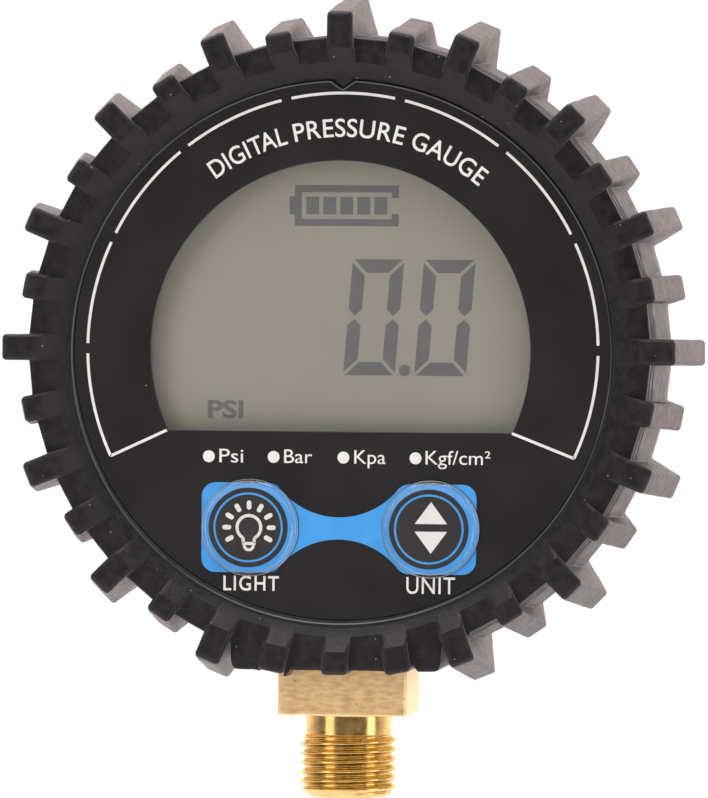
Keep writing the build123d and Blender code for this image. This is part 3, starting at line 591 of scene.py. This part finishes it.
THREAD_R = 9.728 / 2
THREAD_PITCH = 25.4 / 28
THREAD_DEPTH = 0.581
THREAD_END = -5.2
THREAD_ROW = 0.03
NECK_R = 8.55 / 2
TIP_Z = stem_low.z / MM
TIP_R = 3.9
PORT_R = 1.5
BLOCK_HALF = stem_high.x / MM
BLOCK_BOTTOM = 2.1
BLOCK_TOP = 16.5
BLOCK_EDGE = 0.25
SOCKET_R = 5.0
SOCKET_BORE_R = 3.8
SOCKET_TOP = stem_high.z / MM


def thread_radius(angle, z):
    """The turned surface under the block: neck, helical V thread with round crests, end chamfer."""
    phase = (z / THREAD_PITCH - angle / (2 * math.pi)) % 1.0
    slope = 1 - abs(2 * phase - 1)
    crest = min(1.0, max(0.0, (slope - 0.1) / 0.78))
    rounded = crest * crest * (3 - 2 * crest)
    crest = rounded * 0.35 + crest * 0.65
    radius = THREAD_R - THREAD_DEPTH * (1 - crest)
    lead_in = NECK_R + max(0.0, 0.1 - z) * 1.5
    end = TIP_R + max(0.0, z - TIP_Z) * (THREAD_R - TIP_R) / (THREAD_END - TIP_Z)
    return max(min(radius, lead_in, end), min(NECK_R, end))


def stem_ring(radii, z):
    """Points round the stem's axis, one for each radius."""
    points = []
    for j, radius in enumerate(radii):
        angle = 2 * math.pi * j / len(radii)
        points.append(Vector((radius * cos(angle), radius * sin(angle), z)) * MM)
    return points


def thread_shape():
    """The neck and thread down to the end face, and the port back up inside."""
    columns = 160
    angles = [2 * math.pi * j / columns for j in range(columns)]
    levels = [2.0, 1.9, 1.0, 0.3] + [0.15 - THREAD_ROW * i for i in range(205)] + [TIP_Z]
    port = ((TIP_R - 0.2, TIP_Z), (PORT_R + 0.35, TIP_Z), (PORT_R, TIP_Z + 0.3), (PORT_R, 4.0))
    points = stem_ring([NECK_R + 0.12] * columns, BLOCK_BOTTOM + 0.02)
    for z in levels:
        points += stem_ring([thread_radius(angle, z) for angle in angles], z)
    for radius, z in port:
        points += stem_ring([radius] * columns, z)
    rows = 1 + len(levels) + len(port)
    faces = [face[::-1] for face in grid_faces(rows, columns)]
    faces.append(list(range(len(points) - columns, len(points))))
    faces.append(list(range(columns)))
    return points, faces


def block_outline(reach):
    """The block's eight corners, with its sides at reach from the axis and its edges cut off."""
    flat = BLOCK_HALF - BLOCK_EDGE
    side = [(reach, -flat), (reach, flat)]
    outline = []
    for _ in range(4):
        outline += side
        side = [(-y, x) for x, y in side]
    return outline


def block_shape():
    """The square block, with its chamfered edges and the sensor socket on top."""
    chamfer = BLOCK_EDGE * 0.6
    points = []
    for reach, z in (
        (BLOCK_HALF - chamfer, BLOCK_BOTTOM),
        (BLOCK_HALF, BLOCK_BOTTOM + chamfer),
        (BLOCK_HALF, BLOCK_TOP - chamfer),
        (BLOCK_HALF - chamfer, BLOCK_TOP),
    ):
        points += [Vector((x, y, z)) * MM for x, y in block_outline(reach)]
    faces = grid_faces(4, 8)
    faces.append(list(range(8))[::-1])
    faces.append(list(range(24, 32)))
    socket = len(points)
    count = 64
    for radius, z in (
        (SOCKET_R, BLOCK_TOP - 0.5),
        (SOCKET_R, SOCKET_TOP - 0.3),
        (SOCKET_R - 0.2, SOCKET_TOP),
        (SOCKET_BORE_R, SOCKET_TOP),
        (SOCKET_BORE_R, 18.0),
    ):
        points += stem_ring([radius] * count, z)
    faces += grid_faces(5, count, socket)
    faces.append(list(range(socket, socket + count))[::-1])
    faces.append(list(range(socket + 4 * count, socket + 5 * count)))
    return points, faces


def make_stem(paints):
    stem = mesh_piece("stem_thread", *thread_shape(), smooth=75)
    finish_piece(stem, paints["brass"], "head", ["pressure_stem"])
    block = mesh_piece("stem_block", *block_shape(), smooth=30)
    finish_piece(block, paints["milled_brass"], "head", ["pressure_stem"])


# ---------------------------------------------------------------- dial and print

OVERLAY_T = 0.25
WINDOW_R = 18.4
WINDOW_X = -0.22
WINDOW_Z = -0.2
WINDOW_FLAT = 7.7
KEY_HOLE_R = KEY_R + 0.05
PRINT_T = 0.02
PAD_X = -0.17
PAD_HALF_HEIGHT = 4.33
RING_R = 24.7
RING_LINE = 0.27
# The ring's nine arcs in degrees: their pitch, the gaps, where the first gap is, and both ends.
RING_STEP = 25.7
RING_GAP = 2.3
RING_TURN = 0.25
RING_ENDS = (-24.5, 205.0)
TITLE_R = 20.5
TITLE_HEIGHT = 1.72
TITLE_BOLD = 0.008
# Each word of the title, with the degrees at which it starts and ends.
TITLE = (("DIGITAL", 127, 105.2), ("PRESSURE", 103.2, 74.0), ("GAUGE", 71.8, 50.5))
KERNING = {"TA": -0.09, "RE": 0.02}
UNIT_Z = -10.38
UNIT_DOTS = (-12.82, -6.53, 0.235, 7.21)
# Each unit's name, with its left and right end.
UNIT_TEXTS = (
    ("Psi", -11.80, -9.48),
    ("Bar", -5.51, -2.80),
    ("Kpa", 1.29, 4.32),
    ("Kgf/cm²", 8.18, 14.44),
)


def window_outline(radius=WINDOW_R, flat=WINDOW_FLAT):
    corner = math.degrees(math.asin(flat / radius))
    return circle(WINDOW_X, WINDOW_Z, radius, -corner, 180 + corner, 140)


def overlay_outline(radius=OVERLAY_R, inset=0.0):
    """The sheet's edge: a circle with the V notch at twelve o'clock, wider by inset."""
    notch_half = 1.15 + inset * 0.6
    notch_depth = 0.8
    gap = math.degrees(math.asin(notch_half / radius))
    edge = circle(0, 0, radius, 90 + gap, 450 - gap, 240)
    return edge + [(0.12, radius - notch_depth), (-0.12, radius - notch_depth)]


def make_overlay(paints):
    outlines = [overlay_outline(), window_outline()]
    outlines += [circle(x, z, KEY_HOLE_R) for x, z in KEYS.values()]
    sheet = flat_piece("overlay_sheet", outlines, FACE_Y, OVERLAY_T, edge=0.1)
    finish_piece(sheet, paints["overlay"], "head", ["face_overlay"])
    rims = ((0.15, FACE_Y - 0.005), (0.02, FACE_Y - 0.1), (0.02, FACE_Y + 0.03))
    points = []
    for inset, y in rims:
        ring = overlay_outline(RIM_R - inset, inset)
        points += [place(x, z, y) + RIM_SHIFT for x, z in ring]
    edge = mesh_piece("overlay_cut_edge", points, grid_faces(3, len(ring), wrap_rows=True))
    finish_piece(edge, paints["cut_edge"], "head")


def cut_through(piece, outlines, y):
    """Cuts holes, which may cross the edge, right through a thin piece at depth y millimetres."""
    cutter = flat_piece("cutter", outlines, y - 1, 2)
    cut = piece.modifiers.new("holes", "BOOLEAN")
    cut.object = cutter
    cut.solver = "EXACT"
    depsgraph = bpy.context.evaluated_depsgraph_get()
    piece.data = bpy.data.meshes.new_from_object(piece.evaluated_get(depsgraph))
    piece.modifiers.clear()
    bpy.data.objects.remove(cutter)


def printed(name, outlines, paint, y=FACE_Y, body="head"):
    piece = flat_piece(name, outlines, y - PRINT_T, PRINT_T)
    return finish_piece(piece, paint, body)


def ring_outlines():
    """Nine arcs round the display, and a line from each end in to a corner of the window."""
    outlines = []
    for index in range(9):
        middle_gap = RING_TURN + RING_STEP * (index - 1)
        start = middle_gap + RING_GAP / 2 if index else RING_ENDS[0]
        end = middle_gap + RING_STEP - RING_GAP / 2 if index < 8 else RING_ENDS[1]
        outer = circle(0, 0, RING_R + RING_LINE / 2, start, end, 40)
        inner = circle(0, 0, RING_R - RING_LINE / 2, end, start, 40)
        outlines.append(outer + inner)
    corner_x = math.sqrt(WINDOW_R**2 - WINDOW_FLAT**2)
    for side, angle in zip((1, -1), RING_ENDS):
        end = (RING_R * cos(radians(angle)), RING_R * sin(radians(angle)))
        corner = (WINDOW_X + side * corner_x, WINDOW_Z - WINDOW_FLAT)
        middle = ((end[0] + corner[0]) / 2, (end[1] + corner[1]) / 2)
        length = math.dist(end, corner)
        slope = math.degrees(math.atan2(corner[1] - end[1], corner[0] - end[0]))
        outlines.append(bar(*middle, length, RING_LINE, slope))
    return outlines


def glyph(text, bold, spacing=1.0):
    """The flat mesh of a text at size 1."""
    data = bpy.data.curves.new("glyph", "FONT")
    data.body = text
    data.size = 1.0
    data.resolution_u = 6
    data.offset = bold
    data.space_character = spacing
    return drawn_mesh(data)


def spread(mesh):
    xs = [v.co.x for v in mesh.vertices]
    return min(xs), max(xs)


def cap_height(bold):
    return max(v.co.y for v in glyph("H", bold).vertices)


def join_meshes(name, meshes, y):
    """One piece from flat meshes in dial metres, PRINT_T deep, facing the viewer at depth y."""
    spots = {}
    fronts = []
    for mesh in meshes:
        for polygon in mesh.polygons:
            corners = [tuple(mesh.vertices[i].co) for i in polygon.vertices]
            face = [spots.setdefault(corner, len(spots)) for corner in corners]
            if len(set(face)) == len(face):
                fronts.append(face)
    count = len(spots)
    edges = {edge: None for face in fronts for edge in zip(face, face[1:] + face[:1])}
    points = [(u, v, w + PRINT_T * MM) for u, v, w in spots] + list(spots)
    backs = [[i + count for i in reversed(face)] for face in fronts]
    sides = [(b, a, a + count, b + count) for a, b in edges if (b, a) not in edges]
    joined = bpy.data.meshes.new(name)
    joined.from_pydata(points, [], fronts + backs + sides)
    return stand_up(name, joined, y)


def fitted_text(text, left, right, baseline, height, bold=0.0, spacing=1.0):
    """Text stretched to run from left to right, in dial millimetres, with capitals of that height."""
    mesh = glyph(text, bold, spacing)
    low, high = spread(mesh)
    across = (right - left) / (high - low)
    up = height / cap_height(bold)
    for v in mesh.vertices:
        x = left + (v.co.x - low) * across
        v.co = Vector((x, baseline + v.co.y * up, 0)) * MM
    return mesh


def arc_word(word, radius, start, end, height, bold):
    """A word set round the dial's centre from start to end degrees, clockwise, letter by letter."""
    up = height / cap_height(bold)
    letters = []
    shift = 0.0
    for index, letter in enumerate(word):
        mesh = glyph(letter, bold)
        low, high = spread(mesh)
        shift += KERNING.get(word[max(index - 1, 0):index + 1], 0.0)
        right = spread(glyph(word[:index + 1], bold))[1] + shift
        letters.append((mesh, (low + high) / 2, right - (high - low) / 2))
        if index == 0:
            first = right - (high - low)
    across = radians(start - end) * radius / (right - first)
    for mesh, middle, centre in letters:
        angle = radians(start) - (centre - first) * across / radius
        for v in mesh.vertices:
            u = (v.co.x - middle) * across
            r = radius + v.co.y * up
            v.co = Vector((r * cos(angle) + u * sin(angle), r * sin(angle) - u * cos(angle), 0)) * MM
    return [mesh for mesh, _, _ in letters]


def pad_outline():
    """The blue pad behind the keys: two rounded squares joined by a waist with concave sides."""
    middle = sum(z for _, z in KEYS.values()) / 2
    half_width, waist = 13.3, 1.07
    corner, shoulder, hollow, turn = 1.35, 1.6, 7.39, 50
    quarter = circle(half_width - corner, PAD_HALF_HEIGHT - corner, corner, 0, 90, 10)
    hollow_x = hollow * sin(radians(turn))
    shoulder_x = hollow_x + shoulder * sin(radians(turn))
    quarter += circle(shoulder_x, PAD_HALF_HEIGHT - shoulder, shoulder, 90, 90 + turn, 10)
    quarter += circle(0, waist + hollow, hollow, -90 + turn, -90, 24)
    half = quarter + [(-x, z) for x, z in reversed(quarter[:-1])]
    return [(PAD_X + x, middle + z) for x, z in half + [(x, -z) for x, z in reversed(half)]]


def clipped_circle(x, z, radius, flat):
    """A circle cut off level at flat above and below its centre."""
    corner = math.degrees(math.asin(flat / radius))
    right = circle(x, z, radius, -corner, corner, 40)
    return right + circle(x, z, radius, 180 - corner, 180 + corner, 40)


def bulb_outlines(x, z):
    """A lamp bulb with a screw base and nine rays."""
    outlines = []
    mouth = 28
    bulb = circle(x, z, 1.3, -90 + mouth, 270 - mouth, 48)
    bulb += circle(x, z, 1.0, 270 - mouth, -90 + mouth, 48)
    outlines.append(bulb)
    for side in (-1, 1):
        outlines.append(bar(x + side * 0.53, z - 1.25, 0.5, 0.28, 90))
    outlines.append(bar(x, z - 1.55, 1.34, 0.3, 0, True))
    outlines.append(circle(x, z - 1.72, 0.58, 180, 360, 24) + circle(x, z - 1.72, 0.3, 360, 180, 24))
    for ray in range(9):
        angle = -30 + 30 * ray
        spot = (x + 2.16 * cos(radians(angle)), z + 2.16 * sin(radians(angle)))
        outlines.append(bar(*spot, 0.88, 0.45, angle, True))
    return outlines


def arrow_outlines(x, z):
    """Two triangles, one up and one down."""
    half, height, gap = 1.57, 2.12, 0.73
    up = [(x - half, z + gap / 2), (x + half, z + gap / 2), (x, z + gap / 2 + height)]
    down = [(x - half, z - gap / 2), (x, z - gap / 2 - height), (x + half, z - gap / 2)]
    return [up, down]


def make_print(paints):
    white, blue = paints["white_ink"], paints["blue_ink"]
    printed("print_ring", ring_outlines(), white)
    pad = flat_piece("print_blue_pad", [pad_outline()], FACE_Y - PRINT_T, PRINT_T)
    cut_through(pad, [circle(x, z, KEY_HOLE_R) for x, z in KEYS.values()], FACE_Y)
    finish_piece(pad, blue, "head")
    printed("print_unit_dots", [circle(x, UNIT_Z, 0.575, steps=32) for x in UNIT_DOTS], white)
    title = []
    for word, start, end in TITLE:
        title += arc_word(word, TITLE_R, start, end, TITLE_HEIGHT, TITLE_BOLD)
    units = [fitted_text(t, left, right, UNIT_Z - 0.57, 1.3) for t, left, right in UNIT_TEXTS]
    labels = [
        fitted_text("LIGHT", -11.30, -5.91, -23.27, 1.4, bold=0.012, spacing=1.15),
        fitted_text("UNIT", 6.43, 11.13, -23.39, 1.6, bold=0.004, spacing=1.08),
    ]
    for name, meshes in (("print_title", title), ("print_units", units), ("print_key_labels", labels)):
        piece = join_meshes(name, meshes, FACE_Y)
        finish_piece(piece, white, "head")


# ---------------------------------------------------------------- keys

DISC_R = 3.85
DISC_SHIFT = -0.2
KEY_RING_RADII = (3.37, 3.17)
# Painted highlights: thin pale rings, printed inside the clear dome, where its rim catches the light.
PAINTED_HIGHLIGHT_RADII = (4.34, 4.66)


def make_dome(name, x, z, paint, body, node):
    """A clear domed key: a low cap with a raised rim, flat at the back over its print."""
    back = FACE_Y - 0.06
    profile = [
        (0.0, KEY_FRONT + 0.06), (2.0, KEY_FRONT + 0.05), (3.5, KEY_FRONT + 0.07), (4.05, KEY_FRONT + 0.1),
        (4.2, KEY_FRONT + 0.02), (4.32, KEY_FRONT), (4.44, KEY_FRONT + 0.05), (4.56, KEY_FRONT + 0.2),
        (4.66, KEY_FRONT + 0.34), (KEY_R, KEY_FRONT + 0.44), (KEY_R, back), (0.0, back),
    ]
    points = [place(x, z, profile[0][1])]
    count = 96
    for radius, y in profile[1:-1]:
        for j in range(count):
            angle = 2 * math.pi * j / count
            points.append(place(x + radius * cos(angle), z + radius * sin(angle), y))
    points.append(place(x, z, profile[-1][1]))
    faces = grid_faces(len(profile) - 2, count, start=1)
    last = 1 + (len(profile) - 3) * count
    for j in range(count):
        faces.append((0, 1 + (j + 1) % count, 1 + j))
        faces.append((len(points) - 1, last + j, last + (j + 1) % count))
    dome = mesh_piece(name, points, faces, smooth=40)
    finish_piece(dome, paint, body, [node])


def make_key(name, paints):
    """A key: the clear dome, and under it a black base with the blue, the ring and the sign, printed in
    lighter copies of the face's inks: painted light that makes up for the shade under the dome.
    """
    x, z = KEYS[name]
    body = f"{name}_button"
    back = FACE_Y - 0.02
    make_dome(f"{name}_dome", x, z, paints["clear"], body, f"{name}_key")
    base = flat_piece(f"{name}_print_base", [circle(x, z, KEY_R)], back, 0.08)
    finish_piece(base, paints["black_ink"], body)
    disc_x = x + DISC_SHIFT
    icon = bulb_outlines(x - 0.12, z) if name == "light" else arrow_outlines(x, z + 0.15)
    rim = clipped_circle(x, z, KEY_R - 0.02, PAD_HALF_HEIGHT)
    # Painted light: the print under the dome uses lighter copies of the face's blue and white inks, to
    # make up for the shade the dome casts on it.
    layers = (
        ("blue", [rim, circle(disc_x, z, DISC_R)], "key_print_blue_painted_light"),
        ("ring", [circle(disc_x, z, radius) for radius in KEY_RING_RADII], "key_print_blue_painted_light"),
        ("icon", icon, "key_sign_white_painted_light"),
    )
    for part, outlines, ink in layers:
        printed(f"{name}_print_{part}", outlines, paints[ink], back, body)
    # Painted highlight: two pale rings just inside the dome's front stand in for the light that its rim
    # catches.
    rims = [circle(x, z, radius + side) for radius in PAINTED_HIGHLIGHT_RADII for side in (0.03, -0.03)]
    printed(f"{name}_painted_dome_highlights", rims, paints["painted_dome_highlight"], KEY_FRONT + 0.3, body)


# ---------------------------------------------------------------- display

PANEL_OUTLINE = (19.2, 8.4)
SEGMENT = 1.29
SEGMENT_GAP = 0.3
DIGIT_WIDTH = 5.0
DIGIT_HEIGHT = 11.2
DIGIT_SLANT = math.tan(radians(4.45))
DIGIT_XS = (2.86, 9.76)
DIGIT_Z = 3.15
POINT = (5.89, -1.95)


def nought_outlines(x, z):
    """The six lit segments of a seven-segment nought about (x, z), leaning to the right."""
    half_w, half_h = DIGIT_WIDTH / 2, DIGIT_HEIGHT / 2
    t, g = SEGMENT, SEGMENT_GAP / 2
    top = [
        (-half_w + g, half_h), (half_w - g, half_h),
        (half_w - t - g, half_h - t), (-half_w + t + g, half_h - t),
    ]
    side = [
        (-half_w, half_h - 2 * g), (-half_w + t, half_h - t - 2 * g),
        (-half_w + t, t / 2 + g), (-half_w + t / 2, g), (-half_w, t / 2 + g),
    ]
    placed = ((top, 1, 1), (side, -1, 1), (side, -1, -1), (top, 1, -1), (side, 1, -1), (side, 1, 1))
    outlines = []
    for shape, right, up in placed:
        outlines.append([(x + u * right + v * up * DIGIT_SLANT, z + v * up) for u, v in shape])
    return outlines


def battery_outlines():
    """A battery sign: an outline open at its right end, a nub on the left, and five bars."""
    x, z, width, height, line = 0.15, 13.9, 10.1, 3.94, 0.68
    left, right = x - width / 2, x + width / 2
    top, bottom = z + height / 2, z - height / 2
    mouth = 0.77
    frame_line = [
        (left, bottom), (right, bottom), (right, z - mouth), (right - line, z - mouth),
        (right - line, bottom + line), (left + line, bottom + line), (left + line, top - line),
        (right - line, top - line), (right - line, z + mouth), (right, z + mouth), (right, top),
        (left, top), (left, z + 0.87), (left - 0.5, z + 0.87), (left - 0.5, z - 0.87), (left, z - 0.87),
    ]
    bars = [bar(x + 1.65 * i, z, 1.25, 1.69) for i in range(-2, 3)]
    return [frame_line] + bars


def make_display(paints):
    glass = flat_piece("lcd_panel", [window_outline(*PANEL_OUTLINE)], LCD_Y, 0.18)
    finish_piece(glass, paints["lcd"], "head", ["lcd_front_polariser"])
    lit = []
    for x in DIGIT_XS:
        lit += nought_outlines(x, DIGIT_Z)
    lit.append(circle(*POINT, 0.56, steps=32))
    lit += battery_outlines()
    printed("lcd_segments", lit, paints["lcd_dark"], LCD_Y)
    word = fitted_text("PSI", -13.21, -9.73, -6.65, 1.68, bold=0.03)
    piece = join_meshes("lcd_unit_sign", [word], LCD_Y)
    finish_piece(piece, paints["lcd_dark"], "head")


# ---------------------------------------------------------------- CAD nodes that stay


def paint_cad_nodes(paints):
    """Gives every CAD node that stays in view, or could be, its own surface."""
    finishes = {
        "case_plastic": ("front_bezel", "rear_case", "battery_door"),
        "steel": ("case_screws", "door_screws", "stem_screws", "board_screws", "sensor_capsule"),
        "nickel": (
            "contact_bridge", "contact_positive", "contact_negative", "battery_springs", "timing_crystal",
        ),
        "board": ("main_board",),
        "black_ink": ("controller_chip", "ribbon_connector", "lcd_frame"),
        "dark_rubber": ("case_gasket", "sensor_seal", "zebra_strip"),
        "jacket": ("battery_upper", "battery_lower"),
        "clear": ("window_lens",),
        "brass": ("sensor_retainer",),
        "switch": ("light_switch_body", "unit_switch_body", "light_switch_plunger", "unit_switch_plunger"),
        "lcd": ("lcd_front_glass", "lcd_rear_glass", "lcd_rear_polariser"),
        "guide": ("backlight_guide", "backlight_leds", "chip_capacitors"),
        "ribbon": ("sensor_ribbon",),
    }
    for paint, nodes in finishes.items():
        for node in nodes:
            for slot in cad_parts[node].material_slots:
                slot.material = paints[paint]


def make_paints():
    return {
        "rubber": material(
            "boot_rubber", (0.0065, 0.0065, 0.0075), (0.0155, 0.0145, 0.015), 1100, (0.4, 0.56),
            bump=0.00005, bump_scale=3400, dust=(900, 0.35, 0.075, (0.2, 0.19, 0.18)),
            Specular_IOR_Level=0.24, Specular_Tint=(1.0, 0.93, 0.9, 1),
            Sheen_Weight=0.16, Sheen_Roughness=0.35, Sheen_Tint=(1.0, 0.85, 0.8, 1),
        ),
        "overlay": material(
            "overlay_black", (0.009, 0.008, 0.008), (0.012, 0.011, 0.0105), 120, (0.34, 0.44),
            bump=0.000004, bump_scale=9000, dust=(420, 0.05, 0.028, (0.25, 0.25, 0.25)),
            Specular_IOR_Level=0.33,
        ),
        "cut_edge": material("cut_edge", (0.018, 0.018, 0.019), (0.06, 0.06, 0.062), 160, (0.35, 0.5)),
        "white_ink": material("white_ink", (0.69, 0.665, 0.64), (0.75, 0.725, 0.7), 900, (0.4, 0.55)),
        # A lighter copy of white_ink for the key signs: painted light against the dome's shade.
        "key_sign_white_painted_light": material("key_sign_white_ink_painted_light", (0.93, 0.91, 0.88), (0.98, 0.96, 0.93), 900, (0.4, 0.55)),
        # A pale grey for the painted highlight rings on the dome's rim.
        "painted_dome_highlight": material("painted_dome_highlight", (0.2, 0.21, 0.215), (0.42, 0.43, 0.44), 260, (0.25, 0.4)),
        "blue_ink": material("blue_ink", (0.038, 0.28, 0.66), (0.046, 0.305, 0.7), 700, (0.4, 0.55)),
        # A lighter copy of blue_ink for the keys: painted light against the dome's shade.
        "key_print_blue_painted_light": material("key_print_blue_ink_painted_light", (0.055, 0.39, 0.9), (0.065, 0.42, 0.95), 700, (0.4, 0.55)),
        "black_ink": material("black_ink", (0.012, 0.011, 0.012), (0.018, 0.017, 0.017), 700, (0.4, 0.55)),
        "clear": clear_material("clear_plastic", 0.00003),
        "lcd": material("lcd_background", (0.336, 0.32, 0.266), (0.368, 0.35, 0.294), 18, (0.5, 0.6)),
        "lcd_dark": material("lcd_segment", (0.155, 0.145, 0.15), (0.17, 0.16, 0.165), 400, (0.45, 0.55)),
        "brass": material(
            "brass", (0.53, 0.365, 0.125), (0.7, 0.5, 0.195), 900, (0.15, 0.24), metal=1.0,
            dust=(900, 0.05, 0.07, (0.3, 0.17, 0.05)),
        ),
        "milled_brass": material(
            "milled_brass", (0.71, 0.48, 0.215), (0.86, 0.64, 0.35), 1900, (0.38, 0.56), metal=0.85,
            bump=0.00001, bump_scale=4200, stretch=(0.5, 0.5, 1.5),
            dust=(1500, 0.2, 0.12, (0.3, 0.18, 0.07)),
        ),
        "case_plastic": material(
            "case_plastic", (0.011, 0.011, 0.012), (0.018, 0.018, 0.019), 400, (0.4, 0.55),
            bump=0.00002, bump_scale=5200, Specular_IOR_Level=0.4,
        ),
        "steel": material("zinc_steel", (0.5, 0.5, 0.52), (0.62, 0.61, 0.6), 900, (0.25, 0.45), metal=1.0),
        "nickel": material(
            "nickel_plate", (0.6, 0.57, 0.52), (0.7, 0.67, 0.62), 700, (0.18, 0.35), metal=1.0,
        ),
        "board": material("solder_mask", (0.01, 0.1, 0.035), (0.015, 0.14, 0.05), 600, (0.3, 0.45)),
        "dark_rubber": material("seal_rubber", (0.015, 0.015, 0.015), (0.03, 0.03, 0.03), 900, (0.5, 0.7)),
        "jacket": material("battery_jacket", (0.02, 0.1, 0.05), (0.04, 0.13, 0.07), 150, (0.25, 0.4)),
        "switch": material("switch_plastic", (0.03, 0.03, 0.03), (0.05, 0.05, 0.05), 600, (0.4, 0.6)),
        "guide": material("frosted_white", (0.75, 0.74, 0.7), (0.82, 0.8, 0.77), 300, (0.5, 0.6)),
        "ribbon": material("polyimide", (0.4, 0.2, 0.04), (0.5, 0.26, 0.06), 400, (0.3, 0.45)),
    }


# ---------------------------------------------------------------- build

bpy.context.scene.view_settings.view_transform = "Standard"
make_camera()
make_world()
make_lights()
make_stage()
paints = make_paints()
make_boot(paints["rubber"])
make_stem(paints)
make_overlay(paints)
make_print(paints)
for key in KEYS:
    make_key(key, paints)
make_display(paints)
paint_cad_nodes(paints)
